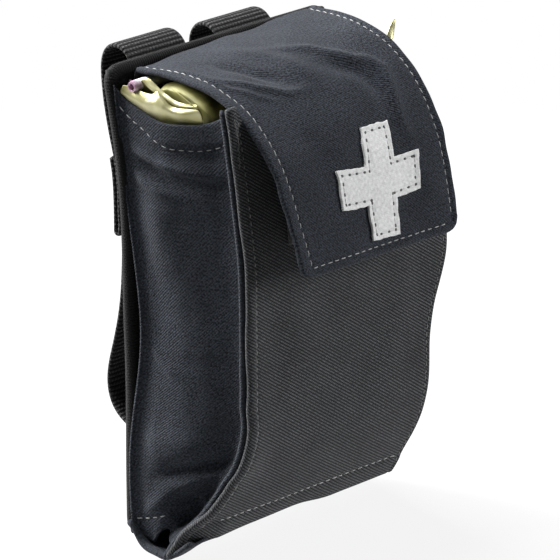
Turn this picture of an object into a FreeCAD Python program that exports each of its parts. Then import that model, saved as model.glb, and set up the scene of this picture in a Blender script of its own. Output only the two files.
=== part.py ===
"""First-aid belt pouch with a packed windlass tourniquet.

+X is the wearer's right, +Y points to the belt and +Z is up. The origin is the middle of the
flat underside. Side-view outlines are given as (depth, height): depth runs forward, towards -Y,
from the plane in which the back panel hangs.
"""

import FreeCAD, Part
import math
import os

from FreeCAD import Placement, Rotation, Vector

SIZES = {
    # overall
    "back_plane_y": 14.5,
    "panel_half_width": 48.8,
    "binding_half_width": 50.0,
    "front_half_width": 44.0,
    "front_waist": 2.5,
    "front_foot_flare": 2.0,
    "seam_width": 1.4,
    # cloth
    "cloth": 1.2,
    "lining": 0.8,
    "ply_gap": 0.1,
    "foam": 2.0,
    # side walls
    "gusset_rear_x": 46.2,
    "gusset_rear_depth": 3.0,
    "gusset_angle": 8.0,
    # flap
    "flap_rear_half_width": 41.0,
    "flap_bend_half_width": 38.5,
    "flap_tip_half_width": 34.8,
    "cross_span": 36.4,
    "cross_arm": 12.6,
    "cross_x": 4.4,
    "cross_tip_margin": 4.8,
    "patch": 0.8,
    # webbing
    "webbing_width": 25.0,
    "webbing": 1.6,
    "strap_pitch": 39.0,
    "strap_shift": -3.0,
    "snap_height": 110.8,
    "snap_cap_radius": 6.2,
    "snap_post_radius": 2.0,
    "snap_clearance": 0.35,
    # tourniquet
    "tourniquet_width": 38.0,
    "rod_radius": 4.6,
    "rod_length": 88.0,
}

# Side-view outlines, (depth, height), bottom to top.
BACK_REAR_FACE = [
    (2.5, 5), (2.2, 35), (0.5, 60), (-0.9, 83), (-1.2, 105), (-2.8, 128), (-5, 142), (-7.5, 156)
]
FRONT_OUTER_FACE = [
    (30.5, 8.5), (39.2, 24), (46.6, 44), (48.6, 62), (48.8, 82), (48.4, 100), (46.4, 120), (42, 151)
]
FLAP_OUTER_FACE = [
    (-1, 157), (14, 157.4), (30, 155), (41, 149.5), (49, 142), (55.5, 131.5), (60, 118), (65, 100.5)
]
STRAP_OUTER_FACE = [
    (-7.2, 151), (-8.2, 155), (-10.8, 159), (-15.3, 160.6), (-19.8, 159), (-22.1, 154.5),
    (-22.4, 147), (-21.3, 138), (-18.8, 127), (-16.6, 118), (-15.8, 110), (-15.6, 97.6),
]
LOWER_STRAP_OUTER_FACE = [
    (0.6, 13), (0.5, 19), (0.3, 25), (-1.5, 30), (-6.5, 33.6), (-12.8, 36.2), (-17.6, 40.5),
    (-19.4, 47.5), (-17.4, 58), (-14, 72), (-12.6, 86), (-12.3, 100), (-12.3, 121),
]
GUSSET_SCOOP = [(3, 144.4), (12, 142.2), (24, 144)]
BASE_UNDERSIDE = [(4.8, 2.4), (6.5, 0), (24.5, 0), (29.2, 6.3)]


def make_sheet(doc):
    sheet = doc.addObject("Spreadsheet::Sheet", "Sizes")
    for row, (alias, value) in enumerate(SIZES.items(), start=1):
        sheet.set("A%d" % row, alias)
        sheet.set("B%d" % row, repr(value))
        sheet.setAlias("B%d" % row, alias)
    doc.recompute()
    return sheet


DOC = FreeCAD.newDocument("first_aid_pouch")
SHEET = make_sheet(DOC)


def size(alias):
    return SHEET.get(alias)


# ---------------------------------------------------------------- side-view geometry

def side(depth, height):
    """The point of the side view, in the X = 0 plane."""
    return Vector(0, size("back_plane_y") - depth, height)


def spline(points):
    curve = Part.BSplineCurve()
    curve.interpolate([side(*point) for point in points])
    return curve


def parameter_at_height(curve, height):
    """Bisects for the parameter where a curve that only rises, or only falls, has this height."""
    low, high = curve.FirstParameter, curve.LastParameter
    rising = curve.value(high).z > curve.value(low).z
    for _ in range(50):
        middle = (low + high) / 2
        if (curve.value(middle).z < height) == rising:
            low = middle
        else:
            high = middle
    return low


def parameter_at_fraction(curve, fraction):
    return curve.parameterAtDistance(curve.length() * fraction, curve.FirstParameter)


def offset_point(curve, parameter, distance):
    """A point beside the curve, to its left as seen from +X, looking along its direction."""
    tangent = curve.tangent(parameter)[0]
    normal = Vector(0, -tangent.z, tangent.y)
    return curve.value(parameter) + normal * distance


def ply_face(curve, start, end, near, far, samples=13):
    """The section of a ply that follows a curve, between two offsets from it."""
    steps = [start + (end - start) * i / (samples - 1) for i in range(samples)]
    edges = []
    for distance in (near, far):
        side_curve = Part.BSplineCurve()
        side_curve.interpolate([offset_point(curve, step, distance) for step in steps])
        edges.append(side_curve)
    near_edge, far_edge = edges
    caps = [
        Part.LineSegment(near_edge.EndPoint, far_edge.EndPoint),
        Part.LineSegment(far_edge.StartPoint, near_edge.StartPoint),
    ]
    outline = [near_edge.toShape(), caps[0].toShape(), far_edge.toShape(), caps[1].toShape()]
    return Part.Face(Part.Wire(Part.__sortEdges__(outline)))


def polygon_face(points):
    corners = [side(*point) for point in points]
    return Part.Face(Part.makePolygon(corners + corners[:1]))


# ---------------------------------------------------------------- document objects

PIECES = {}


def keep(name, thing):
    """Registers a document object as the sub-part of this name."""
    thing.Label = name
    PIECES[name] = thing
    return thing


def feature(name, shape):
    thing = DOC.addObject("Part::Feature", name)
    thing.Shape = shape
    return thing


def extrude(name, face, width, start):
    """Runs a side-view section along X. width and start are expressions on the sheet."""
    thing = DOC.addObject("Part::Extrusion", name)
    thing.Base = feature(name + "_section", face)
    thing.DirMode = "Custom"
    thing.Dir = Vector(1, 0, 0)
    thing.Solid = True
    thing.setExpression("LengthFwd", width)
    thing.setExpression("Placement.Base.x", start)
    return thing


def symmetric_extrude(name, face, half_width):
    return extrude(name, face, "2 * (%s)" % half_width, "-(%s)" % half_width)


def combine(kind, name, base, tool):
    thing = DOC.addObject(kind, name)
    thing.Base = base
    thing.Tool = tool
    return thing


def compound(name, things):
    group = DOC.addObject("Part::Compound", name)
    group.Links = things
    return group


def cylinder(name, radius, length, centre, axis):
    """A cylinder that starts at centre and runs along axis; radius and length are expressions."""
    thing = DOC.addObject("Part::Cylinder", name)
    thing.setExpression("Radius", radius)
    thing.setExpression("Height", length)
    thing.Placement = Placement(centre, Rotation(Vector(0, 0, 1), axis))
    return thing


def block(name, length, width, height, corner, turn=None):
    thing = DOC.addObject("Part::Box", name)
    for field, expression in (("Length", length), ("Width", width), ("Height", height)):
        thing.setExpression(field, str(expression))
    thing.Placement = Placement(corner, turn or Rotation())
    return thing


def round_edges(name, base, radius, keep_edge=lambda edge: True):
    thing = DOC.addObject("Part::Fillet", name)
    thing.Base = base
    DOC.recompute()
    chosen = [i for i, edge in enumerate(base.Shape.Edges, start=1) if keep_edge(edge)]
    thing.Edges = [(i, radius, radius) for i in chosen]
    return thing


def along(edge, axis):
    """True for a straight edge parallel to the axis."""
    ends = [vertex.Point for vertex in edge.Vertexes]
    if len(ends) != 2:
        return False
    return (ends[1] - ends[0]).normalize().cross(axis).Length < 1e-6


X_AXIS, Y_AXIS, Z_AXIS = Vector(1, 0, 0), Vector(0, 1, 0), Vector(0, 0, 1)
SIDES = (("left", -1), ("right", 1))


# ---------------------------------------------------------------- back panel

REAR_CURVE = spline(BACK_REAR_FACE)
FRONT_CURVE = spline(FRONT_OUTER_FACE)
FLAP_CURVE = spline(FLAP_OUTER_FACE)
STRAP_CURVE = spline(STRAP_OUTER_FACE)
LOWER_CURVE = spline(LOWER_STRAP_OUTER_FACE)


def back_ply(bottom, top, near, far):
    """Offsets grow forward from the panel's rear face."""
    start, end = (parameter_at_height(REAR_CURVE, height) for height in (bottom, top))
    return ply_face(REAR_CURVE, start, end, near, far)


def make_back_panel():
    cloth, gap, foam, lining = size("cloth"), size("ply_gap"), size("foam"), size("lining")
    foam_start = cloth + gap
    lining_start = foam_start + foam + gap
    total = lining_start + lining
    outer = back_ply(6.2, 154.8, 0, cloth)
    keep("back_panel_cover", symmetric_extrude("back_panel_cover", outer, "Sizes.panel_half_width"))
    board = back_ply(10, 151, foam_start, foam_start + foam)
    keep("back_foam_board", symmetric_extrude("back_foam_board", board, "Sizes.panel_half_width - 4"))
    inner = back_ply(6.2, 154.8, lining_start, total)
    keep("back_panel_lining", symmetric_extrude("back_panel_lining", inner, "Sizes.panel_half_width"))

    frame = symmetric_extrude("binding_blank", back_ply(5, 156, 0, total), "Sizes.binding_half_width")
    opening = back_ply(6.1, 154.9, -5, total + 5)
    window = symmetric_extrude("binding_window", opening, "Sizes.panel_half_width + Sizes.ply_gap")
    keep("back_edge_binding", combine("Part::Cut", "back_edge_binding", frame, window))
    return total


BACK_THICKNESS = make_back_panel()


# ---------------------------------------------------------------- front panel

def front_ply(bottom, top, near, far):
    """Offsets grow inwards from the front panel's outer face."""
    start, end = (parameter_at_height(FRONT_CURVE, height) for height in (bottom, top))
    return ply_face(FRONT_CURVE, start, end, -near, -far)


def waisted_outline(inset):
    """The front view of the front panel, pulled in at the waist and flared at the foot."""
    top_x = size("front_half_width") - inset
    waist_x = top_x - size("front_waist")
    foot_x = top_x + size("front_foot_flare")
    foot_end, waist_height, waist_end, above_top = 42, 74, 104, 160
    right = [
        (foot_x, 0), (top_x, foot_end), (waist_x, waist_height), (top_x, waist_end), (top_x, above_top)
    ]
    edge = Part.BSplineCurve()
    edge.interpolate([Vector(x, 100, z) for x, z in right])
    mirrored = Part.BSplineCurve()
    mirrored.interpolate([Vector(-x, 100, z) for x, z in right])
    ends = [
        Part.LineSegment(edge.StartPoint, mirrored.StartPoint),
        Part.LineSegment(edge.EndPoint, mirrored.EndPoint),
    ]
    wire = Part.Wire(Part.__sortEdges__([part.toShape() for part in (edge, mirrored, *ends)]))
    return Part.Face(wire).extrude(Vector(0, -200, 0))


def make_front_panel():
    cloth, gap = size("cloth"), size("ply_gap")
    blank = symmetric_extrude("front_blank", front_ply(8.5, 151, 0, cloth), "Sizes.binding_half_width")
    outline = feature("front_outline", waisted_outline(0))
    waisted = combine("Part::Common", "front_waisted", blank, outline)
    clearance = 0.8
    notch = block("flap_notch", "2 * Sizes.flap_bend_half_width + %g" % (2 * clearance), 40, 20,
                  side(60, 144.6) - Vector(size("flap_bend_half_width") + clearance, 0, 0))
    keep("front_panel", combine("Part::Cut", "front_panel", waisted, notch))

    hem_start = cloth + gap
    for name, bottom, top in (("front_top_hem", 136, 144.3), ("front_bottom_hem", 9.2, 17.5)):
        section = front_ply(bottom, top, hem_start, hem_start + size("lining"))
        keep(name, symmetric_extrude(name, section, "Sizes.front_half_width - 5"))

    tape = front_ply(106, 138, -size("cloth") - gap, -gap)
    keep("loop_tape", symmetric_extrude("loop_tape", tape, "Sizes.webbing_width"))

    seam = front_ply(11, 149, hem_start, hem_start + 1.6)
    for word, sign in SIDES:
        name = "front_seam_binding_" + word
        blank = extrude(name + "_blank", seam, "12", "-48" if sign < 0 else "36")
        inset = 0.3
        outer_cut = feature(name + "_outer", waisted_outline(inset))
        ring = combine("Part::Common", name + "_ring", blank, outer_cut)
        inner_cut = feature(name + "_inner", waisted_outline(size("seam_width")))
        keep(name, combine("Part::Cut", name, ring, inner_cut))


make_front_panel()


# ---------------------------------------------------------------- side walls and base

def gusset_section():
    """The side wall in its own plane: rear edge, scooped top edge, front edge and underside."""
    rear_offset = BACK_THICKNESS + 0.4
    front_offset = size("cloth") + 0.5
    rear_heights = (7, 45, 90, 125, 149)
    rear = [offset_point(REAR_CURVE, parameter_at_height(REAR_CURVE, z), rear_offset) for z in rear_heights]
    front_heights = (10, 24, 44, 62, 82, 100, 120, 149)
    front = [
        offset_point(FRONT_CURVE, parameter_at_height(FRONT_CURVE, z), -front_offset) for z in front_heights
    ]
    top = [rear[-1]] + [side(*point) for point in GUSSET_SCOOP] + [front[-1]]
    curves = []
    for points in (rear, top, front):
        curve = Part.BSplineCurve()
        curve.interpolate(points)
        curves.append(curve.toShape())
    underside = [rear[0], side(7.2, 1), side(8.5, 0), side(24, 0), side(27, 3.2), front[0]]
    curves += [Part.LineSegment(a, b).toShape() for a, b in zip(underside, underside[1:])]
    return Part.Face(Part.Wire(Part.__sortEdges__(curves)))


def make_gussets():
    section = gusset_section()
    hinge_y = size("back_plane_y") - size("gusset_rear_depth")
    for word, sign in SIDES:
        wall = section.extrude(Vector(-sign * size("cloth"), 0, 0))
        name = "side_gusset_" + word
        thing = keep(name, feature(name, wall))
        turn = Rotation(Z_AXIS, -sign * size("gusset_angle"))
        thing.Placement = Placement(Vector(sign * size("gusset_rear_x"), 0, 0), turn, Vector(0, hinge_y, 0))

    seam = back_ply(9, 148, BACK_THICKNESS + size("ply_gap"), BACK_THICKNESS + 1.5)
    for word, sign in SIDES:
        name = "rear_seam_binding_" + word
        start = "-Sizes.panel_half_width" if sign < 0 else "Sizes.panel_half_width - Sizes.seam_width"
        keep(name, extrude(name, seam, "Sizes.seam_width", start))


def make_base():
    thickness = size("cloth")
    top = [(29.6, 7.9), (23.9, thickness), (7.1, thickness), (4.9, 4.2)]
    section = polygon_face(BASE_UNDERSIDE + top)
    keep("base_panel", symmetric_extrude("base_panel", section, "Sizes.front_half_width - 3"))


make_gussets()
make_base()


# ---------------------------------------------------------------- flap

BEND_FRACTION = 0.5
BEND = parameter_at_fraction(FLAP_CURVE, BEND_FRACTION)
BEND_GAP = 0.004


def flap_ply(start, end, near, far):
    """Offsets grow inwards from the flap's outer face."""
    return ply_face(FLAP_CURVE, start, end, near, far)


def tapered_outline(inset):
    """The flap laid over: its side edges in plan, from the rear edge to the tip."""
    rear_y = size("back_plane_y") + 5
    bend_y = size("back_plane_y") - 45
    tip_y = size("back_plane_y") - 67
    right = [
        (size("flap_rear_half_width") - inset, rear_y),
        (size("flap_bend_half_width") - inset, bend_y),
        (size("flap_tip_half_width") - inset, tip_y),
    ]
    corners = [Vector(x, y, 0) for x, y in right] + [Vector(-x, y, 0) for x, y in reversed(right)]
    return Part.Face(Part.makePolygon(corners + corners[:1])).extrude(Vector(0, 0, 200))


def tapered_piece(name, section, inset):
    blank = symmetric_extrude(name + "_blank", section, "Sizes.flap_rear_half_width + 1")
    outline = feature(name + "_outline", tapered_outline(inset))
    return keep(name, combine("Part::Common", name, blank, outline))


def make_flap():
    first, last = FLAP_CURVE.FirstParameter, FLAP_CURVE.LastParameter
    span = last - first
    top_end, front_start = BEND - BEND_GAP * span, BEND + BEND_GAP * span
    cloth, gap, lining = size("cloth"), size("ply_gap"), size("lining")
    inner = cloth + gap
    tapered_piece("flap_top_cover", flap_ply(first, top_end, 0, cloth), 0)
    tapered_piece("flap_top_lining", flap_ply(first + 0.02 * span, top_end, inner, inner + lining), 0.6)
    tapered_piece("flap_front_cover", flap_ply(front_start, last, 0, cloth), 0)
    lining_end = last - 0.01 * span
    tapered_piece("flap_front_lining", flap_ply(front_start, lining_end, inner, inner + lining), 0.6)
    hook_start = inner + lining + gap
    hook = flap_ply(last - 0.3 * span, last - 0.08 * span, hook_start, hook_start + 0.9)
    keep("hook_tape", symmetric_extrude("hook_tape", hook, "Sizes.webbing_width - 1"))


def make_cross():
    """The patch is as tall along the cloth as it is wide."""
    arm, span = size("cross_arm") / 2, size("cross_span") / 2
    centre = FLAP_CURVE.length() - size("cross_tip_margin") - span
    positions = [centre - span, centre - arm, centre + arm, centre + span]
    start, arm_start, arm_end, end = (
        FLAP_CURVE.parameterAtDistance(position, FLAP_CURVE.FirstParameter) for position in positions
    )
    near, far = -size("patch") - size("ply_gap"), -size("ply_gap")
    section, bar_section = flap_ply(start, end, near, far), flap_ply(arm_start, arm_end, near, far)
    upright = extrude("cross_upright", section, "Sizes.cross_arm", "Sizes.cross_x - Sizes.cross_arm / 2")
    bar = extrude("cross_bar", bar_section, "Sizes.cross_span", "Sizes.cross_x - Sizes.cross_span / 2")
    keep("cross_patch", combine("Part::Fuse", "cross_patch", upright, bar))


def make_flap_binding():
    """The seam tape that ties the flap to the top of the back panel."""
    ply = back_ply(148.5, 154.5, BACK_THICKNESS + 0.1, BACK_THICKNESS + 0.9)
    keep("flap_seam_tape", symmetric_extrude("flap_seam_tape", ply, "Sizes.flap_rear_half_width - 1"))


make_flap()
make_cross()
make_flap_binding()


# ---------------------------------------------------------------- belt straps

LOOP_TOP_FRACTION = 0.165


def strap_x(sign):
    return size("strap_shift") + sign * size("strap_pitch") / 2


def strap_extrude(name, section, sign, inset=0.0):
    start = "Sizes.strap_shift + %d * Sizes.strap_pitch / 2 - Sizes.webbing_width / 2 + %g" % (sign, inset)
    return extrude(name, section, "Sizes.webbing_width - %g" % (2 * inset), start)


def make_straps():
    first, last = STRAP_CURVE.FirstParameter, STRAP_CURVE.LastParameter
    top = parameter_at_fraction(STRAP_CURVE, LOOP_TOP_FRACTION)
    slack = 0.003 * (last - first)
    webbing = size("webbing")
    anchor_start = parameter_at_height(REAR_CURVE, 126)
    anchor_end = parameter_at_height(REAR_CURVE, 150.6)
    anchor = ply_face(REAR_CURVE, anchor_start, anchor_end, -webbing - 0.1, -0.1)
    front_half = ply_face(STRAP_CURVE, first, top - slack, -webbing, 0)
    hanging = ply_face(STRAP_CURVE, top + slack, last, -webbing, 0, samples=21)
    hem_start = parameter_at_fraction(STRAP_CURVE, 0.705)
    hem = ply_face(STRAP_CURVE, hem_start, last, 0.1, webbing + 0.1)
    lower_top = LOWER_CURVE.LastParameter
    lower = ply_face(LOWER_CURVE, LOWER_CURVE.FirstParameter, lower_top, 0, webbing, samples=31)
    for word, sign in SIDES:
        keep("strap_anchor_" + word, strap_extrude("strap_anchor_" + word, anchor, sign))
        keep("strap_loop_" + word, strap_extrude("strap_loop_" + word, front_half, sign))
        keep("belt_strap_" + word, strap_extrude("belt_strap_" + word, hanging, sign))
        keep("strap_end_hem_" + word, strap_extrude("strap_end_hem_" + word, hem, sign, 0.3))
        keep("lower_strap_" + word, strap_extrude("lower_strap_" + word, lower, sign))


make_straps()


def snap_frame(sign, beyond):
    """A point on the strap's snap axis, this far outside the strap's outer face, and the axis."""
    parameter = parameter_at_height_on_leg(size("snap_height"))
    point = offset_point(STRAP_CURVE, parameter, beyond)
    axis = (offset_point(STRAP_CURVE, parameter, 1) - offset_point(STRAP_CURVE, parameter, 0)).normalize()
    return Vector(strap_x(sign), point.y, point.z), axis


def parameter_at_height_on_leg(height):
    """The strap's hanging leg only falls, from the shoulder to the hem."""
    low = parameter_at_fraction(STRAP_CURVE, 0.4)
    high = STRAP_CURVE.LastParameter
    for _ in range(50):
        middle = (low + high) / 2
        if STRAP_CURVE.value(middle).z > height:
            low = middle
        else:
            high = middle
    return low


def make_snaps():
    """Press studs: a cap and socket on each strap, a stud and its back plate on each lower strap."""
    webbing, gap = size("webbing"), size("ply_gap")
    stud_y = size("back_plane_y") - LOWER_STRAP_OUTER_FACE[-1][0]
    flange_height, plate_height = 0.7, 0.8
    cap_radius, flange_radius = "Sizes.snap_cap_radius", "Sizes.snap_cap_radius - 1"
    hole_radius = "Sizes.snap_post_radius + Sizes.snap_clearance"
    studs, plates = [], []
    for word, sign in SIDES:
        seat, axis = snap_frame(sign, webbing + 0.3)
        cap = cylinder("cap_blank_" + word, cap_radius, "1.3", seat, axis)
        rounded = round_edges("snap_cap_" + word, cap, 0.6, lambda edge: far_rim(edge, seat, axis, 1.0))
        keep("snap_cap_" + word, rounded)

        seat, axis = snap_frame(sign, -webbing - 0.6)
        ring = cylinder("socket_blank_" + word, "Sizes.snap_cap_radius - 0.8", "0.5", seat, axis)
        hole = cylinder("socket_hole_" + word, hole_radius, "3", seat - axis, axis)
        keep("snap_socket_" + word, combine("Part::Cut", "snap_socket_" + word, ring, hole))

        foot = Vector(strap_x(sign), stud_y + gap, seat.z)
        flange = cylinder("stud_flange_" + word, flange_radius, str(flange_height), foot, Y_AXIS)
        tip = foot + Y_AXIS * (flange_height - 0.1)
        post = cylinder("stud_post_" + word, "Sizes.snap_post_radius", "0.7", tip, Y_AXIS)
        studs.append(combine("Part::Fuse", "stud_" + word, flange, post))
        back = foot - Y_AXIS * (webbing + 2 * gap)
        plates.append(cylinder("stud_plate_" + word, flange_radius, str(plate_height), back, -Y_AXIS))
    keep("snap_studs", compound("snap_studs", studs))
    keep("snap_back_plates", compound("snap_back_plates", plates))


def far_rim(edge, seat, axis, least):
    return len(edge.Vertexes) == 1 and (edge.Curve.Center - seat).dot(axis) > least


make_snaps()


# ---------------------------------------------------------------- contents

TOURNIQUET_X = 10.0


def depth_y(depth):
    return size("back_plane_y") - depth


def racetrack(rear, thickness, bottom, top):
    """A folded bundle in the side view: a long block with round ends, between two heights."""
    radius = thickness / 2
    lower, upper = bottom + radius, top - radius
    front, middle = rear + thickness, rear + radius
    edges = [
        Part.LineSegment(side(rear, lower), side(rear, upper)),
        Part.Arc(side(rear, upper), side(middle, top), side(front, upper)),
        Part.LineSegment(side(front, upper), side(front, lower)),
        Part.Arc(side(front, lower), side(middle, bottom), side(rear, lower)),
    ]
    return Part.Face(Part.Wire([edge.toShape() for edge in edges]))


def make_tourniquet():
    """A windlass tourniquet, folded flat for the pouch."""
    half = "Sizes.tourniquet_width / 2"
    start = "%g - %s" % (TOURNIQUET_X, half)
    fold = racetrack(7.4, 9.6, 9, 136)
    keep("tourniquet_strap", extrude("tourniquet_strap", fold, "Sizes.tourniquet_width", start))

    plate = polygon_face([(17.3, 34), (19.0, 34), (19.0, 112), (17.3, 112)])
    keep("tourniquet_plate", extrude("tourniquet_plate", plate, "Sizes.tourniquet_width", start))

    rod_depth = 24.6
    rod_bottom = 30
    rod = cylinder("rod_blank", "Sizes.rod_radius", "Sizes.rod_length",
                   Vector(TOURNIQUET_X, depth_y(rod_depth), rod_bottom), Z_AXIS)
    keep("windlass_rod", round_edges("windlass_rod", rod, 2.0, lambda edge: edge.Closed))

    keep("windlass_clip", open_clip(rod_depth))

    frame = block("buckle_frame", 44, 3.2, 20, Vector(TOURNIQUET_X - 22, depth_y(21), 10.5))
    slot = block("buckle_slot", 38.6, 8, 4, Vector(TOURNIQUET_X - 19.3, depth_y(23), 14))
    upper = block("buckle_upper_slot", 38.6, 8, 4, Vector(TOURNIQUET_X - 19.3, depth_y(23), 22.5))
    first = combine("Part::Cut", "buckle_cut", frame, slot)
    keep("tourniquet_buckle", combine("Part::Cut", "tourniquet_buckle", first, upper))

    tag = polygon_face([(30.2, 92), (31.0, 92), (31.0, 108), (30.2, 108)])
    keep("time_strap", extrude("time_strap", tag, "Sizes.webbing_width + 10", "%g - 17.5" % TOURNIQUET_X))


def open_clip(rod_depth):
    """The open ring that locks the rod: a C in plan, with its mouth forward."""
    slack, wall, height = 0.3, 1.6, 18.0
    inner = size("rod_radius") + slack
    centre = Vector(TOURNIQUET_X, depth_y(rod_depth), 91)
    outer = cylinder("clip_outer", "Sizes.rod_radius + %g" % (slack + wall), str(height), centre, Z_AXIS)
    overrun = Z_AXIS * 2
    bore = cylinder("clip_bore", "Sizes.rod_radius + %g" % slack, str(height + 4), centre - overrun, Z_AXIS)
    mouth = block("clip_mouth", 2 * inner - 3, inner + wall + 2, height + 4,
                  centre + Vector(-inner + 1.5, -inner - wall - 2, -2))
    seat = block("clip_seat", 4 * inner, wall + 2, height + 4,
                 centre + Vector(-2 * inner, inner + 0.6, -2))
    ring = combine("Part::Cut", "clip_ring", outer, bore)
    opened = combine("Part::Cut", "clip_opened", ring, mouth)
    return combine("Part::Cut", "windlass_clip", opened, seat)


def make_packets():
    """Sealed foil packets and a rolled paper slip, upright beside and before the tourniquet."""
    front_outline = [(-38, 26), (38, 26), (39.5, 60), (39.8, 149.5), (46.2, 157.6), (44.6, 159.2),
                     (40.9, 156.8), (40.3, 151), (34, 146), (-34, 140)]
    corners = [Vector(x, depth_y(34.4), z) for x, z in front_outline]
    packet = Part.Face(Part.makePolygon(corners + corners[:1])).extrude(Vector(0, 3.2, 0))
    keep("foil_packet_front", feature("foil_packet_front", packet))

    pillow = block("pillow_blank", 29, 21, 86, Vector(-41, depth_y(29), 62))
    keep("foil_packet_left", round_edges("foil_packet_left", pillow, 6.5, lambda edge: along(edge, X_AXIS)))

    fin = block("fin_blank", 28, 3.2, 30, Vector(-44.2, depth_y(6.4), 117.5))
    keep("foil_sachet", round_edges("foil_sachet", fin, 1.2, lambda edge: along(edge, X_AXIS)))

    keep("paper_roll", cylinder("paper_roll", "2.6", "30", Vector(-46.5, depth_y(2.9), 151.2), X_AXIS))


make_tourniquet()
make_packets()


def report():
    DOC.recompute()
    for thing in DOC.Objects:
        if "Invalid" in thing.State or "Error" in thing.State:
            raise SystemExit("failed object: %s %s" % (thing.Name, thing.State))
    os.makedirs("parts", exist_ok=True)
    for name, thing in PIECES.items():
        shape = thing.Shape
        if shape.isNull() or not shape.isValid() or shape.Volume <= 0:
            raise SystemExit("bad shape: %s" % name)
        shape.exportStep(os.path.join("parts", name + ".step"))
        box = shape.BoundBox
        print("%-26s vol %9.1f  x %7.1f %6.1f  y %7.1f %6.1f  z %6.1f %6.1f" % (
            name, shape.Volume, box.XMin, box.XMax, box.YMin, box.YMax, box.ZMin, box.ZMax))


report()
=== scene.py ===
"""The looks of the first-aid belt pouch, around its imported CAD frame.

Lengths are millimetres until a point is placed, and metres in every Blender object. Side-view
outlines are (depth, height), as in the part: depth runs forward, towards -Y, from the plane in
which the back panel hangs. On a cloth, x runs across and s along it from its first edge.
"""

import bmesh
import bpy
import math
import numpy as np
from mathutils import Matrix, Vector


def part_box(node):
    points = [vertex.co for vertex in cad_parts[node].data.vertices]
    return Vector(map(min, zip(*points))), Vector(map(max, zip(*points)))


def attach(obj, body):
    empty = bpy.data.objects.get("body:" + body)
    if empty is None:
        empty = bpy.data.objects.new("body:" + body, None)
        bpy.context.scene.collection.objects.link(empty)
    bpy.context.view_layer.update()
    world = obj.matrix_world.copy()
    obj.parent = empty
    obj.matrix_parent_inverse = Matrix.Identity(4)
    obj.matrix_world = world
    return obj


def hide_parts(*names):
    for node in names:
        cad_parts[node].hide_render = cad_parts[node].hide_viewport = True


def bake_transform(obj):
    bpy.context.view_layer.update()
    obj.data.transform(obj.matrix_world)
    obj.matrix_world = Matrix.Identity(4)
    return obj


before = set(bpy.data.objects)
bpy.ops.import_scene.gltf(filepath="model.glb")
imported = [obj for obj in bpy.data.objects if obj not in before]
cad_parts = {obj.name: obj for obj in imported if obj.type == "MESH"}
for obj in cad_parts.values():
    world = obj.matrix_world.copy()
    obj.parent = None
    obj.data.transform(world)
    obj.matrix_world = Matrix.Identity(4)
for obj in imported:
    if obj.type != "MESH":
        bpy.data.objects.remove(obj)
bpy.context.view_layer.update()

MM = 0.001
BACK_PLANE = 14.5


# ---------------------------------------------------------------- lines and surfaces

def distances(points):
    """The distance along a run of points, at each of them."""
    return np.concatenate([[0], np.cumsum(np.linalg.norm(np.diff(points, axis=0), axis=1))])


def natural_spline(knots, values, places):
    """The natural cubic spline through values at knots, read at places."""
    count, gaps = len(knots), np.diff(knots)
    system = np.eye(count)
    rhs = np.zeros(values.shape)
    for i in range(1, count - 1):
        system[i, i - 1 : i + 2] = gaps[i - 1], 2 * (gaps[i - 1] + gaps[i]), gaps[i]
        slope_before = (values[i] - values[i - 1]) / gaps[i - 1]
        rhs[i] = 6 * ((values[i + 1] - values[i]) / gaps[i] - slope_before)
    bends = np.linalg.solve(system, rhs.reshape(count, -1)).reshape(values.shape)
    k = np.clip(np.searchsorted(knots, places) - 1, 0, count - 2)
    shape = (-1,) + (1,) * (values.ndim - 1)
    gap, step = gaps[k].reshape(shape), (places - knots[k]).reshape(shape)
    slope = (values[k + 1] - values[k]) / gap - gap * (2 * bends[k] + bends[k + 1]) / 6
    cubic = step**3 * (bends[k + 1] - bends[k]) / (6 * gap)
    return values[k] + step * slope + step**2 * bends[k] / 2 + cubic


def smooth(points, place):
    """A smooth value at place, from a short list of (place, value) points."""
    points = np.array(points, float)
    place = np.asarray(place, float)
    inside = np.clip(place, points[0, 0], points[-1, 0]).ravel()
    return natural_spline(points[:, 0], points[:, 1], inside).reshape(place.shape)


def ease(value):
    value = np.clip(value, 0, 1)
    return value * value * (3 - 2 * value)


def hump(away, width):
    """1 on a line, and falling off smoothly over about this width each side of it."""
    return np.exp(-((away / width) ** 2))


class Line:
    """A smooth side-view line, read by the distance along it. It runs on straight past its ends."""

    SAMPLES, REACH = 1500, 30.0

    def __init__(self, points, outward):
        points = np.array(points, float)
        knots = distances(points)
        fine = natural_spline(knots, points, np.linspace(0, knots[-1], self.SAMPLES))
        first, last = fine[0] - fine[1], fine[-1] - fine[-2]
        before = fine[0] + first / np.linalg.norm(first) * self.REACH
        after = fine[-1] + last / np.linalg.norm(last) * self.REACH
        self.points = np.vstack([before, fine, after])
        self.travel = distances(self.points) - self.REACH
        self.length = self.travel[-2]
        tangents = np.gradient(self.points, self.travel, axis=0)
        tangents /= np.linalg.norm(tangents, axis=1)[:, None]
        self.normals = outward * np.stack([-tangents[:, 1], tangents[:, 0]], axis=1)

    def side_point(self, s, lift=0.0):
        """Depth and height."""
        along, out = (
            [np.interp(s, self.travel, values[:, i]) for i in (0, 1)]
            for values in (self.points, self.normals)
        )
        return along[0] + lift * out[0], along[1] + lift * out[1]

    def place(self, x, s, lift=0.0):
        """Points in the frame, in metres."""
        x, s, lift = np.broadcast_arrays(np.asarray(x, float), s, lift)
        return point(x, *self.side_point(s, lift))

    def at_height(self, height):
        """The distance along a line that only rises."""
        return np.interp(height, self.points[:, 1], self.travel)


def point(x, depth, height):
    x, depth, height = np.broadcast_arrays(x, depth, height)
    return np.stack([x, BACK_PLANE - depth, height], axis=-1) * MM


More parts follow.
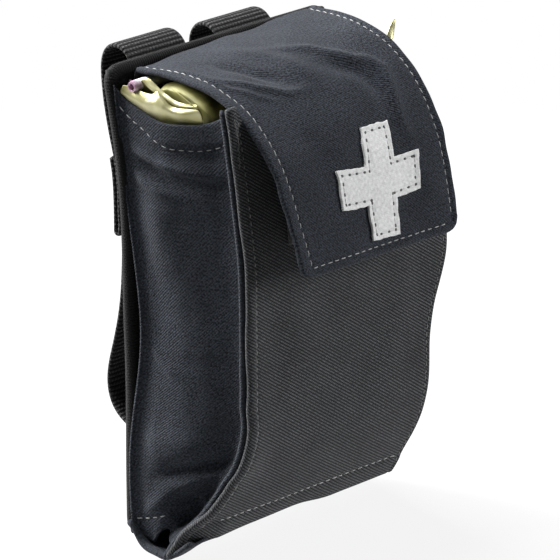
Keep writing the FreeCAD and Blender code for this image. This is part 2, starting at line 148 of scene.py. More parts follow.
BACK = Line([
    (2.5, 5), (2.2, 35), (0.5, 60), (-0.9, 83), (-1.2, 105), (-2.8, 128), (-5, 142), (-7.5, 156),
], 1)
FRONT = Line([
    (30.5, 8.5), (39.2, 24), (46.6, 44), (48.6, 62), (48.8, 82), (48.4, 100), (46.4, 120),
    (42, 151),
], -1)
FLAP = Line([
    (-1, 157), (14, 157.4), (30, 155), (41, 149.5), (49, 142), (55.5, 131.5), (60, 118),
    (65, 100.5),
], 1)
STRAP_FACE = Line([
    (-7.2, 151), (-8.2, 155), (-10.8, 159), (-15.3, 160.6), (-19.8, 159), (-22.1, 154.5),
    (-22.4, 147), (-21.3, 138), (-18.8, 127), (-16.6, 118), (-15.8, 110), (-15.6, 97.6),
], -1)
LOWER_STRAP_FACE = Line([
    (0.6, 13), (0.5, 19), (0.3, 25), (-1.5, 30), (-6.5, 33.6), (-12.8, 36.2), (-17.6, 40.5),
    (-19.4, 47.5), (-17.4, 58), (-14, 72), (-12.6, 86), (-12.3, 100), (-12.3, 121),
], 1)


def distance_to_run(x, y, run):
    """How far places are from a run of points, and how far along it they are, from 0 to 1."""
    run = np.array(run, float)
    travel = distances(run)
    nearest, along = np.full(np.shape(x), np.inf), np.zeros(np.shape(x))
    for origin, part, start in zip(run, np.diff(run, axis=0), travel):
        length = np.linalg.norm(part)
        share = ((x - origin[0]) * part[0] + (y - origin[1]) * part[1]) / length**2
        share = np.clip(share, 0, 1)
        away = np.hypot(x - origin[0] - share * part[0], y - origin[1] - share * part[1])
        along = np.where(away < nearest, (start + share * length) / travel[-1], along)
        nearest = np.minimum(nearest, away)
    return nearest, along


def folds(x, y, listed, share=1.0):
    """Rounded ridges, or valleys if negative, that fade at their ends: (run, width, rise) each."""
    total = 0.0
    for run, width, rise in listed:
        away, along = distance_to_run(x, y, run)
        fade = 0.25 + 0.75 * ease(4 * along * (1 - along))
        total = total + share * rise * fade * hump(away, width)
    return total


def ripple(x, y, scale, seed, waves=9):
    """A smooth unevenness between about -1 and 1, with swells about this wide."""
    draw = np.random.default_rng(seed)
    total = 0.0
    for _ in range(waves):
        angle, phase = draw.uniform(0, 2 * np.pi, 2)
        wavelength = 2 * scale * draw.uniform(0.6, 1.7)
        run = x * np.cos(angle) + y * np.sin(angle)
        total = total + np.sin(2 * np.pi * run / wavelength + phase)
    return total / math.sqrt(2 * waves)


# ---------------------------------------------------------------- meshes

RIM_STEPS = 4
WEAR_REACH = 0.6


def make_object(name, points, faces, material, uv=None, edge=None, closed=True):
    """A smooth mesh. uv is in metres on the cloth, and edge is 1 along a ply's worn rim.

    A closed mesh has its faces turned outwards.
    """
    mesh = bpy.data.meshes.new(name)
    mesh.from_pydata(points.tolist(), [], faces)
    mesh.polygons.foreach_set("use_smooth", np.ones(len(mesh.polygons), bool))
    corners = np.zeros(len(mesh.loops), np.int32)
    mesh.loops.foreach_get("vertex_index", corners)
    uv = np.zeros((len(points), 2)) if uv is None else uv
    spots = uv[corners].astype(np.float32).ravel()
    mesh.uv_layers.new(name="Cloth").data.foreach_set("uv", spots)
    edge = np.zeros(len(points)) if edge is None else edge
    worn = mesh.attributes.new("edge", "FLOAT", "POINT")
    worn.data.foreach_set("value", edge.astype(np.float32))
    mesh.materials.append(material)
    mesh.update()
    if closed:
        work = bmesh.new()
        work.from_mesh(mesh)
        bmesh.ops.recalc_face_normals(work, faces=work.faces)
        work.to_mesh(mesh)
        work.free()
    made = bpy.data.objects.new(name, mesh)
    bpy.context.scene.collection.objects.link(made)
    return made


def settle(piece, slot, *nodes, body="pouch"):
    """Hides the CAD nodes that a piece stands for and attaches it to its body. The slot is not
    used.
    """
    if nodes:
        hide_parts(*nodes)
    if body:
        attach(piece, body)


def quads(a, b, c, d):
    return np.stack([part.ravel() for part in (a, b, c, d)], axis=1)


def tube_faces(first, rings, sides):
    """The sides and end caps of a tube whose points are numbered ring by ring from first."""
    index = first + np.arange(rings * sides).reshape(rings, sides)
    following = np.roll(index, -1, axis=1)
    faces = quads(index[:-1], following[:-1], following[1:], index[1:]).tolist()
    return faces + [index[0, ::-1].tolist(), index[-1].tolist()]


def border_of(rows, columns):
    """The row and column of each grid point round the edge, in order."""
    top = [(0, c) for c in range(columns)]
    right = [(r, columns - 1) for r in range(1, rows)]
    bottom = [(rows - 1, c) for c in range(columns - 2, -1, -1)]
    left = [(r, 0) for r in range(rows - 2, 0, -1)]
    return np.array(top + right + bottom + left).T


def make_ply(name, outer, inner, uv, material):
    """A closed ply of cloth between two grids of points, with a rounded rim."""
    rows, columns = outer.shape[:2]
    index = np.arange(rows * columns).reshape(rows, columns)
    r, c = border_of(rows, columns)
    within_r, within_c = np.clip(r, 1, rows - 2), np.clip(c, 1, columns - 2)
    middle, half = (outer + inner) / 2, (outer - inner) / 2
    out = middle[r, c] - middle[within_r, within_c]
    half = half[r, c]
    depth = np.linalg.norm(half, axis=1)[:, None]
    out -= half * (out * half).sum(1)[:, None] / depth**2
    out *= depth / np.linalg.norm(out, axis=1)[:, None]
    rings, ring_uv = [], []
    uv_out = uv[r, c] - uv[within_r, within_c]
    uv_out /= np.linalg.norm(uv_out, axis=1)[:, None] + 1e-12
    for step in range(1, RIM_STEPS):
        angle = np.pi * (0.5 - step / RIM_STEPS)
        rings.append(middle[r, c] + half * math.sin(angle) + out * math.cos(angle))
        ring_uv.append(uv[r, c] + uv_out * depth * np.pi * step / RIM_STEPS)
    loops = [index[r, c]]
    loops += [2 * rows * columns + k * len(r) + np.arange(len(r)) for k in range(RIM_STEPS - 1)]
    loops.append(rows * columns + index[r, c])

    across, along = outer[0, 1] - outer[0, 0], outer[1, 0] - outer[0, 0]
    turned = np.dot(np.cross(across, along), outer[0, 0] - inner[0, 0]) < 0
    face = quads(index[:-1, :-1], index[:-1, 1:], index[1:, 1:], index[1:, :-1])
    rim = [quads(a, np.roll(a, -1), np.roll(b, -1), b)[:, ::-1] for a, b in zip(loops, loops[1:])]
    faces = np.vstack([face, face[:, ::-1] + rows * columns, *rim])
    if turned:
        faces = faces[:, ::-1]

    flat = uv.reshape(-1, 2)
    side = np.minimum(uv[..., 0] - uv[..., :1, 0], uv[..., -1:, 0] - uv[..., 0])
    end = np.minimum(uv[..., 1] - uv[:1, :, 1], uv[-1:, :, 1] - uv[..., 1])
    edge = np.exp(-np.abs(np.minimum(side, end)) / (WEAR_REACH * MM)).ravel()
    ring_uv = np.vstack(ring_uv)
    points = np.vstack([outer.reshape(-1, 3), inner.reshape(-1, 3), *rings])
    edges = np.concatenate([edge, edge, np.ones(len(ring_uv))])
    uvs = np.vstack([flat, flat, ring_uv])
    return make_object(name, points, faces.tolist(), material, uvs, edges, closed=False)


def grid(first, second):
    """Two arrays over a grid: first varies along a row, second from row to row."""
    return np.meshgrid(first, second)


def cloth_uv(x, s):
    return np.stack(np.broadcast_arrays(x, s), axis=-1) * MM


# ---------------------------------------------------------------- stitches

STITCH_SIDES, STITCH_RINGS = 6, 5
STITCH_END_ANGLE = 0.28  # where a stitch's rounded outline is cut off, in radians
STITCH_RISE, STITCH_DIP = 0.45, 1.5  # of its radius, at its middle and at its ends
STITCH_FLATNESS = 0.8


def follow(surface, run, step=0.4):
    """Points and outward directions along a run of places on a surface."""
    run = np.array(run, float)
    knots = distances(run)
    places = np.linspace(0, knots[-1], max(3, int(knots[-1] / step)))
    first, second = (np.interp(places, knots, run[:, i]) for i in (0, 1))
    low, high = surface(first, second, 0.0), surface(first, second, 1.0)
    up = high - low
    return low, up / np.linalg.norm(up, axis=1)[:, None]


def read_line(values, travel, places):
    return np.stack([np.interp(places, travel, values[:, i]) for i in range(3)], axis=1)


def sew(name, runs, material, body="pouch", pitch=3.0, length=2.8, radius=0.19, seed=1, stray=0.09):
    """One mesh of stitches along runs of (points, outward directions), which ride on a body.

    Each stitch dips into the cloth at its ends.
    """
    draw = np.random.default_rng(seed)
    turn = np.linspace(0, 2 * np.pi, STITCH_SIDES, endpoint=False)
    outline = np.linspace(STITCH_END_ANGLE, np.pi - STITCH_END_ANGLE, STITCH_RINGS)
    swell = np.sin(outline) ** 0.6
    ends = np.linspace(-1, 1, STITCH_RINGS)
    lift = ends**2 * -STITCH_DIP + STITCH_RISE
    points, faces = [], []
    for line, up in runs:
        travel = distances(line) / MM
        for start in np.arange(0.2, travel[-1] - length, pitch):
            start = start + draw.uniform(-0.12, 0.12)
            places = start + np.linspace(0, length * draw.uniform(0.92, 1.06), STITCH_RINGS)
            centre, rise = read_line(line, travel, places), read_line(up, travel, places)
            side = np.cross(np.gradient(centre, axis=0), rise)
            side /= np.linalg.norm(side, axis=1)[:, None]
            slant = draw.uniform(-stray, stray) * ends
            centre = centre + rise * (lift * radius * MM)[:, None] + side * (slant * MM)[:, None]
            ring = side[:, None] * np.cos(turn)[None, :, None]
            ring = ring + rise[:, None] * STITCH_FLATNESS * np.sin(turn)[None, :, None]
            first = len(points) * STITCH_RINGS * STITCH_SIDES
            faces += tube_faces(first, STITCH_RINGS, STITCH_SIDES)
            spots = centre[:, None] + ring * (radius * MM * swell)[:, None, None]
            points.append(spots.reshape(-1, 3))
    made = make_object(name, np.vstack(points), faces, material)
    if body:
        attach(made, body)
    return made


# ---------------------------------------------------------------- materials

class Shader:
    """A material's nodes, with short calls for the ones used here."""

    def __init__(self, name, **constants):
        self.material = bpy.data.materials.new(name)
        self.material.use_nodes = True
        self.tree = self.material.node_tree
        self.surface = self.tree.nodes["Principled BSDF"]
        for socket, value in constants.items():
            self.surface.inputs[socket.replace("_", " ").title()].default_value = value

    def add(self, kind, settings=(), **links):
        node = self.tree.nodes.new(kind)
        for field, value in dict(settings).items():
            setattr(node, field, value)
        for socket, value in links.items():
            self.feed(node.inputs[socket.replace("_", " ")], value)
        return node

    def feed(self, socket, value):
        if isinstance(value, bpy.types.NodeSocket):
            self.tree.links.new(value, socket)
        else:
            socket.default_value = value

    def math(self, operation, *values):
        node = self.tree.nodes.new("ShaderNodeMath")
        node.operation = operation
        for socket, value in zip(node.inputs, values):
            self.feed(socket, value)
        return node.outputs[0]

    def scaled(self, vector, scale):
        node = self.add("ShaderNodeVectorMath", {"operation": "SCALE"}, Vector=vector, Scale=scale)
        return node.outputs[0]

    def cloth(self):
        """The place on the cloth, in millimetres."""
        uv = self.add("ShaderNodeUVMap", {"uv_map": "Cloth"})
        return self.scaled(uv.outputs[0], 1 / MM)

    def solid(self):
        """The place in the frame, in millimetres."""
        return self.scaled(self.add("ShaderNodeTexCoord").outputs["Object"], 1 / MM)

    def ribs(self, place, angle, pitch):
        """0 to 1 across ribs at this angle to the cloth's width."""
        turn = math.radians(angle)
        wave = 2 * math.pi / pitch
        direction = (-math.sin(turn) * wave, math.cos(turn) * wave, 0)
        phase = self.add("ShaderNodeVectorMath", {"operation": "DOT_PRODUCT"}, Vector=place)
        phase.inputs[1].default_value = direction
        return self.math("MULTIPLY_ADD", self.math("SINE", phase.outputs["Value"]), 0.5, 0.5)

    def noise(self, place, size, detail=2.0, roughness=0.5):
        """0 to 1, in patches of about this size."""
        settings = {"Scale": 1 / size, "Detail": detail, "Roughness": roughness}
        return self.add("ShaderNodeTexNoise", Vector=place, **settings).outputs[0]

    def mix(self, share, first, second):
        node = self.add("ShaderNodeMix", {"data_type": "RGBA"})
        self.feed(node.inputs[0], share)
        self.feed(node.inputs[6], first)
        self.feed(node.inputs[7], second)
        return node.outputs[2]

    def spread(self, value, low, high, to_low=0.0, to_high=1.0):
        limits = {"From_Min": low, "From_Max": high, "To_Min": to_low, "To_Max": to_high}
        return self.add("ShaderNodeMapRange", Value=value, **limits).outputs[0]

    def bump(self, height, distance, strength=1.0):
        """Raises the surface by height times distance, in millimetres."""
        node = self.add("ShaderNodeBump", Height=height)
        node.inputs["Distance"].default_value = distance * MM
        node.inputs["Strength"].default_value = strength
        self.tree.links.new(node.outputs[0], self.surface.inputs["Normal"])

    def colour(self, value):
        self.feed(self.surface.inputs["Base Color"], value)

    def rough(self, value, low, high, to_low, to_high):
        self.feed(self.surface.inputs["Roughness"], self.spread(value, low, high, to_low, to_high))


def grey(level, blue=0.0):
    """A dark neutral, with its blue raised and its red lowered by this share."""
    return (level * (1 - 0.7 * blue), level, level * (1 + 1.5 * blue), 1.0)


def woven(name, level, angle, pitch, relief, ribbed=0.5, grain=0.6, blue=0.0, wear=0.0,
          wander=0.2, crossing=(65, 0.8, 0.45)):
    """Twill or tape: ribs at an angle, broken by crossing threads, in yarn that varies a little.

    crossing is how far the crossing threads turn from the ribs, their share of the ribs' pitch,
    and how deeply they break them.
    """
    shade = Shader(name, roughness=0.85, sheen_weight=0.04, sheen_roughness=0.4)
    shade.surface.inputs["Specular IOR Level"].default_value = 0.14
    place = shade.cloth()
    drift = shade.noise(place, 7.0)
    offset = shade.add("ShaderNodeCombineXYZ", X=drift, Y=drift)
    shifted = shade.add("ShaderNodeVectorMath", {"operation": "ADD"}, Vector=place)
    shade.feed(shifted.inputs[1], shade.scaled(offset.outputs[0], wander))
    turn, share, depth = crossing
    rib = shade.ribs(shifted.outputs[0], angle, pitch)
    across = shade.ribs(shifted.outputs[0], angle + turn, pitch * share)
    weave = shade.math("MULTIPLY", rib, shade.spread(across, 0, 1, 1 - depth, 1.0))
    yarn = shade.spread(shade.noise(place, 0.7, detail=2.0, roughness=0.6), 0.34, 0.66)
    patches = shade.noise(place, 14.0, detail=3.0, roughness=0.6)
    ribs_tone = shade.spread(weave, 0, 1, 1 - ribbed, 1.0)
    yarn_tone = shade.spread(yarn, 0, 1, 1 - grain, 1 + grain)
    tone = shade.math("MULTIPLY", ribs_tone, yarn_tone)
    tone = shade.math("MULTIPLY", tone, shade.spread(patches, 0.3, 0.7, 0.82, 1.18))
    body = shade.mix(shade.spread(tone, 0, 1.6), grey(level * 0.03, blue), grey(level, blue))
    edge = shade.add("ShaderNodeAttribute", {"attribute_name": "edge"}).outputs["Fac"]
    worn = shade.spread(shade.noise(place, 1.3, detail=3.0), 0.42, 0.68)
    rubbed = shade.math("MULTIPLY", shade.math("MULTIPLY", edge, worn), wear)
    shade.colour(shade.mix(rubbed, body, grey(level * 1.3, blue * 0.3)))
    shade.rough(yarn, 0.0, 1.0, 0.76, 0.92)
    shade.bump(shade.math("MULTIPLY_ADD", yarn, grain, weave), relief)
    return shade.material


def thread(name, level):
    shade = Shader(name, roughness=0.6, sheen_weight=0.3)
    place = shade.solid()
    twist = shade.noise(place, 0.35)
    drift = shade.noise(place, 9.0)
    twist_tone = shade.spread(twist, 0.3, 0.7, 0.6, 1.1)
    tone = shade.math("MULTIPLY", twist_tone, shade.spread(drift, 0.3, 0.7, 0.65, 1.15))
    shade.colour(shade.mix(tone, grey(level * 0.35), grey(level)))
    shade.bump(twist, 0.08)
    return shade.material


def foil(name, pale, deep, metallic, gloss):
    shade = Shader(name, metallic=metallic)
    place = shade.solid()
    crumple = shade.noise(place, 9.0, detail=2.0, roughness=0.4)
    patches = shade.noise(place, 7.0, detail=1.0)
    shade.colour(shade.mix(shade.spread(patches, 0.35, 0.65), deep, pale))
    shade.rough(crumple, 0.3, 0.7, gloss, gloss + 0.14)
    shade.bump(crumple, 1.2)
    return shade.material


def moulded(name, level, roughness, relief=0.05):
    shade = Shader(name)
    place = shade.solid()
    grain = shade.noise(place, 0.4, detail=3.0)
    scuffs = shade.noise(place, 6.0, detail=4.0, roughness=0.7)
    shade.colour(shade.mix(shade.spread(scuffs, 0.4, 0.75), grey(level), grey(level * 2.2)))
    shade.rough(scuffs, 0.3, 0.7, roughness - 0.08, roughness + 0.12)
    shade.bump(grain, relief)
    return shade.material


def lacquered_metal():
    shade = Shader("black_lacquered_brass", metallic=0.85, coat_weight=0.4, coat_roughness=0.2)
    place = shade.solid()
    wear = shade.noise(place, 2.2, detail=4.0, roughness=0.7)
    shade.colour(shade.mix(shade.spread(wear, 0.62, 0.74), grey(0.018), (0.24, 0.19, 0.12, 1.0)))
    shade.rough(wear, 0.3, 0.8, 0.28, 0.5)
    shade.bump(wear, 0.03)
    return shade.material


def pale_patch():
    shade = Shader("pale_patch", roughness=0.62, sheen_weight=0.15)
    place = shade.cloth()
    weave = shade.math("MULTIPLY", shade.ribs(place, 0, 0.55), shade.ribs(place, 90, 0.55))
    mottle = shade.noise(place, 1.1, detail=3.0, roughness=0.65)
    share = shade.spread(mottle, 0.3, 0.7)
    shade.colour(shade.mix(share, (0.43, 0.435, 0.435, 1), (0.66, 0.665, 0.665, 1)))
    shade.bump(shade.math("ADD", shade.math("MULTIPLY", weave, 0.4), mottle), 0.12)
    return shade.material


def paper():
    shade = Shader("paper_slip", roughness=0.4)
    place = shade.solid()
    along = shade.add("ShaderNodeSeparateXYZ", Vector=place).outputs["X"]
    patches = shade.noise(place, 3.0, detail=2.0)
    mottled = shade.spread(patches, 0.35, 0.5, 0.4, 1.0)
    tinted = shade.math("MULTIPLY", shade.spread(along, -43.2, -44.2), mottled)
    shade.colour(shade.mix(tinted, (0.80, 0.79, 0.82, 1), (0.42, 0.26, 0.36, 1)))
    shade.bump(patches, 0.1)
    return shade.material


def pile(name, level):
    """The rough face of hook and loop tape."""
    shade = Shader(name, roughness=0.9, sheen_weight=0.15)
    place = shade.cloth()
    tufts = shade.noise(place, 0.55, detail=4.0, roughness=0.75)
    shade.colour(shade.mix(shade.spread(tufts, 0.3, 0.7), grey(level * 0.4), grey(level * 1.5)))
    shade.bump(tufts, 0.5)
    return shade.material


RIB_PITCH = 1.5

TWILL = woven("fine_black_twill", 0.043, 42, 0.7, 0.12, ribbed=0.35, grain=0.95, blue=0.2,
              wear=0.1, wander=0.6)
COARSE = woven("coarse_diagonal_twill", 0.125, -33, 0.91, 0.10, ribbed=1.0, grain=0.6, blue=0.05,
               wear=0.08, wander=0.12)
SEAM = woven("folded_seam_twill", 0.045, 42, 0.85, 0.10, blue=0.06, wear=0.2)
# The binding is dark tape, darkened further, well below the other black cloths, as painted shade
# for the back panel's shadowed edge.
BINDING_IN_PAINTED_SHADE = woven("edge_binding_tape_in_painted_shade", 0.008, 0, 0.9, 0.14)
WEBBING = woven("ribbed_webbing", 0.10, 0, RIB_PITCH, 0.3, ribbed=1.0, wander=0.0,
                crossing=(66, 0.8, 0.65))
LINING = woven("plain_lining", 0.04, 0, 0.5, 0.06, blue=0.02)
TOURNIQUET_TAPE = woven("tourniquet_tape", 0.03, 0, 0.9, 0.12)
PALE_TAPE = woven("pale_tape", 0.85, 0, 0.7, 0.08, ribbed=0.2, grain=0.2)
THREAD = thread("grey_thread", 0.32)
DARK_THREAD = thread("dark_grey_thread", 0.11)
BLACK_THREAD = thread("black_thread", 0.02)
FRAY = thread("frayed_yarn", 0.16)
PATCH_THREAD = thread("patch_thread", 0.62)
HOLE = thread("needle_hole", 0.02)
GOLD = foil("gold_foil", (0.50, 0.48, 0.28, 1), (0.33, 0.31, 0.12, 1), 0.45, 0.26)
OLIVE = foil("olive_foil", (0.22, 0.21, 0.06, 1), (0.12, 0.115, 0.03, 1), 0.2, 0.42)
PATCH = pale_patch()
PAPER = paper()
LOOP_PILE = pile("loop_pile", 0.03)
HOOKS = pile("hook_tape", 0.022)
METAL = lacquered_metal()
PLASTIC = moulded("black_moulded_plastic", 0.014, 0.45)


# ---------------------------------------------------------------- camera, light and floor

AZIMUTH, ELEVATION = -46.5, 18.8
AIM = Vector((0.31, -6.56, 81.6)) * MM
CAMERA_DISTANCE = 1.875
LENS = 385.7
SKY_ON_OBJECT = 0.05  # the white sky's strength everywhere but in the camera's own view
FLOOR_RADIUS, FLOOR_GLOW = 0.45, 0.86


def from_angle(azimuth, elevation, distance):
    """The offset from the point aimed at, of this length and at these angles, in radians."""
    level = math.cos(elevation)
    direction = math.sin(azimuth) * level, -math.cos(azimuth) * level, math.sin(elevation)
    return Vector(direction) * distance


def aimed(name, data, azimuth, elevation, distance):
    """A camera or a light that faces the object from these angles, in degrees."""
    back = from_angle(math.radians(azimuth), math.radians(elevation), distance)
    made = bpy.data.objects.new(name, data)
    made.location = AIM + back
    made.rotation_mode = "QUATERNION"
    made.rotation_quaternion = back.to_track_quat("Z", "Y")
    bpy.context.scene.collection.objects.link(made)
    return made


def make_camera():
    data = bpy.data.cameras.new("camera")
    data.lens = LENS
    data.clip_start, data.clip_end = 0.1, 50
    bpy.context.scene.camera = aimed("camera", data, AZIMUTH, ELEVATION, CAMERA_DISTANCE)


def soft_box(name, azimuth, elevation, distance, width, power):
    data = bpy.data.lights.new(name, "AREA")
    data.shape, data.size, data.energy = "DISK", width, power
    aimed(name, data, azimuth, elevation, distance)


def make_studio():
    soft_box("top_light", -165, 66, 1.6, 1.1, 57)
    soft_box("rear_light", -158, 24, 1.6, 0.9, 84)
    soft_box("front_light", 46, 16, 1.8, 0.8, 32)
    world = bpy.data.worlds.new("studio")
    world.use_nodes = True
    sky = world.node_tree
    sight = sky.nodes.new("ShaderNodeLightPath")
    level = sky.nodes.new("ShaderNodeMapRange")
    level.inputs["To Min"].default_value = SKY_ON_OBJECT
    level.inputs["To Max"].default_value = 1.0
    sky.links.new(sight.outputs["Is Camera Ray"], level.inputs["Value"])
    sky.nodes["Background"].inputs["Color"].default_value = (1, 1, 1, 1)
    sky.links.new(level.outputs[0], sky.nodes["Background"].inputs["Strength"])
    bpy.context.scene.world = world
    bpy.context.scene.view_settings.view_transform = "Standard"

    glow = {"emission_color": (1, 1, 1, 1), "emission_strength": FLOOR_GLOW}
    shade = Shader("light_table", roughness=0.9, **glow)
    drift = shade.noise(shade.solid(), 300.0)
    shade.colour(shade.mix(drift, (0.06, 0.06, 0.06, 1), (0.07, 0.07, 0.07, 1)))
    bpy.ops.mesh.primitive_circle_add(vertices=128, radius=FLOOR_RADIUS, fill_type="NGON")
    floor = bpy.context.object
    floor.name = "studio_floor"
    floor.data.materials.append(shade.material)


make_camera()
make_studio()


# ---------------------------------------------------------------- back panel

PANEL_HALF_WIDTH, PANEL_BOTTOM, PANEL_TOP = 48.8, 6.0, 155.0
PANEL_THICKNESS, PANEL_EDGE_THICKNESS = 4.2, 2.7
PANEL_WAIST = [(0, 0), (30, 0.002), (50, 0.03), (75, 0.047), (95, 0.046), (120, 0.03), (150, 0.01)]
BINDING_WIDTH, BINDING_STEP = 6.0, 0.8
BINDING_STITCH_INSET = 4.6


def panel_thickness(x, s):
    """Full over the foam, and pinched where the binding is sewn round it."""
    low, high = BACK.at_height(PANEL_BOTTOM), BACK.at_height(PANEL_TOP)
    inside = np.minimum(PANEL_HALF_WIDTH - np.abs(x), np.minimum(s - low, high - s))
    return PANEL_EDGE_THICKNESS + (PANEL_THICKNESS - PANEL_EDGE_THICKNESS) * ease((inside - 1) / 9)


def drawn_in(x, s):
    """The panel is a little narrower at its middle height, where the side walls pull on it."""
    return x * (1 - smooth(PANEL_WAIST, s))


def panel_place(x, s, lift):
    return BACK.place(drawn_in(x, s), s, lift)


def round_corners(half_width, low, high, radius):
    """Points round a rectangle with round corners, and the outward direction at each."""
    points, outward = [], []
    right, left = half_width, -half_width
    for x, s, start in [(right, low, -90), (right, high, 0), (left, high, 90), (left, low, 180)]:
        centre = np.array([x - math.copysign(radius, x), s + (radius if s == low else -radius)])
        for turn in np.radians(np.linspace(start, start + 90, 7)):
            direction = np.array([math.cos(turn), math.sin(turn)])
            points.append(centre + radius * direction)
            outward.append(direction)
    points, outward = np.array(points + points[:1]), np.array(outward + outward[:1])
    knots = distances(points)
    places = np.arange(0, knots[-1], BINDING_STEP)
    return [
        np.stack([np.interp(places, knots, part[:, i]) for i in (0, 1)], axis=1)
        for part in (points, outward)
    ]


def make_back_panel():
    low, high = BACK.at_height(PANEL_BOTTOM), BACK.at_height(PANEL_TOP)
    inside = PANEL_HALF_WIDTH - 1
    x, s = grid(np.linspace(-inside, inside, 90), np.linspace(low + 1, high - 1, 130))
    uneven = 0.25 * ripple(x, s, 22, 3)
    rear, front = panel_place(x, s, uneven), panel_place(x, s, uneven - panel_thickness(x, s))
    pad = make_ply("back_panel_pad", rear, front, cloth_uv(x, s), LINING)
    settle(pad, "lining_cloth", "back_panel_cover", "back_foam_board", "back_panel_lining")

    edge, outward = round_corners(PANEL_HALF_WIDTH, low, high, 5.0)
    thick, width = PANEL_EDGE_THICKNESS, BINDING_WIDTH
    profile = np.array([
        (-width, 0.6), (-3, 0.75), (-0.6, 0.7), (0.7, 0.1), (1.15, -thick / 2),
        (0.7, -thick - 0.1), (-0.6, -thick - 0.7), (-3, -thick - 0.75), (-width, -thick - 1.3),
        (-width, -thick - 0.7), (-0.9, -thick - 0.1), (0, -thick / 2), (-0.9, 0.1), (-width, 0.1),
    ])
    spots = edge[:, None] + outward[:, None] * profile[:, :1]
    points = panel_place(spots[..., 0], spots[..., 1], profile[:, 1])
    index = np.arange(points.shape[0] * points.shape[1]).reshape(points.shape[:2])
    ahead = np.roll(index, -1, axis=0)
    faces = quads(index, np.roll(index, -1, axis=1), np.roll(ahead, -1, axis=1), ahead).tolist()
    uv = cloth_uv(*grid(distances(profile), np.arange(len(edge)) * BINDING_STEP)).reshape(-1, 2)
    binding = make_object("back_panel_binding", points.reshape(-1, 3), faces, BINDING_IN_PAINTED_SHADE, uv)
    settle(binding, "edge_binding", "back_edge_binding")

    inset = BINDING_STITCH_INSET
    inner, _ = round_corners(PANEL_HALF_WIDTH - inset, low + inset, high - inset, 3.0)
    rear = follow(lambda x, s, lift: panel_place(x, s, 0.72 + lift), inner)
    front = follow(lambda x, s, lift: panel_place(x, s, -thick - 0.95 - lift), inner)
    sew("binding_stitches", [rear, front], DARK_THREAD)


make_back_panel()


# ---------------------------------------------------------------- front panel

DITCH_WIDTH = 0.6  # of the groove that a row of stitches pulls into the cloth
FRONT_CLOTH, FRONT_EDGE = 1.2, 2.2
FRONT_NOTCH_HEIGHT, FRONT_CORNER_HEIGHT = 144.3, 151.0
SEAM_INSET_LEFT, SEAM_INSET_RIGHT = 3.2, 1.6
FRONT_HEM = 8.6
FRONT_NOMINAL_HALF = 44
FRONT_LEFT_EDGE = [
    (2, 51.4), (8, 50.6), (16, 48.7), (28, 44.8), (42, 42.5), (60, 42.2), (82, 42.1), (110, 42.6),
    (151, 43.9),
]
FRONT_RIGHT_EDGE = [
    (6, 42.6), (22, 42.6), (30, 43.0), (42, 42.2), (54, 40.6), (62, 40.4), (71, 42.2), (80, 45.4),
    (90, 47.4), (98, 47.0), (110, 44.5), (125, 42.0), (151, 39.6),
]
# Runs of (x, s), how wide each fold is, and how far it stands out.
FRONT_FOLDS = [
    ([(-36, 96), (-30, 70), (-31, 40)], 6.0, -0.45),
    ([(-24, 112), (-20, 80), (-16, 52)], 8.0, 0.5),
    ([(30, 20), (22, 50), (26, 84)], 7.0, 0.4),
    ([(36, 60), (33, 84), (35, 104)], 4.0, -0.35),
    ([(-40, 30), (-22, 20), (4, 17)], 5.0, -0.35),
    ([(-41, 52), (-41, 24)], 9.0, 2.2),
]


def front_half_width(height, left):
    """The left seam flares at its foot, and the right one bulges at its middle."""
    return np.where(left, smooth(FRONT_LEFT_EDGE, height), smooth(FRONT_RIGHT_EDGE, height))


def front_seam_inset(x):
    return np.where(np.asarray(x) < 0, SEAM_INSET_LEFT, SEAM_INSET_RIGHT)


def front_relief(x, s):
    _, height = FRONT.side_point(s)
    inset = front_half_width(height, x < 0) - np.abs(x)
    pull = 0.88 + 0.12 * np.cos(2 * np.pi * s / 2.6)
    seam = front_seam_inset(x)
    relief = -0.5 * pull * hump(inset - seam, DITCH_WIDTH)
    relief = relief + 0.45 * np.sqrt(ease(1.3 - inset / seam)) - 0.5 * ease(1 - inset / 1.6)
    relief = relief - 0.35 * hump(s - FRONT_HEM, DITCH_WIDTH) * ease((inset - 3) / 2)
    relief = relief + 0.28 * ease((FRONT_HEM - s) / 3) + folds(x, s, FRONT_FOLDS)
    left_foot = ease((-x - 37) / 14) * ease((15 - s) / 15)
    uneven = 0.22 * ripple(x, s, 20, 11) + 0.07 * ripple(x, s, 7, 12)
    return relief - 4.6 * left_foot + uneven


def front_surface(x, s, lift=0.0):
    return FRONT.place(x, s, front_relief(x, s) + lift)


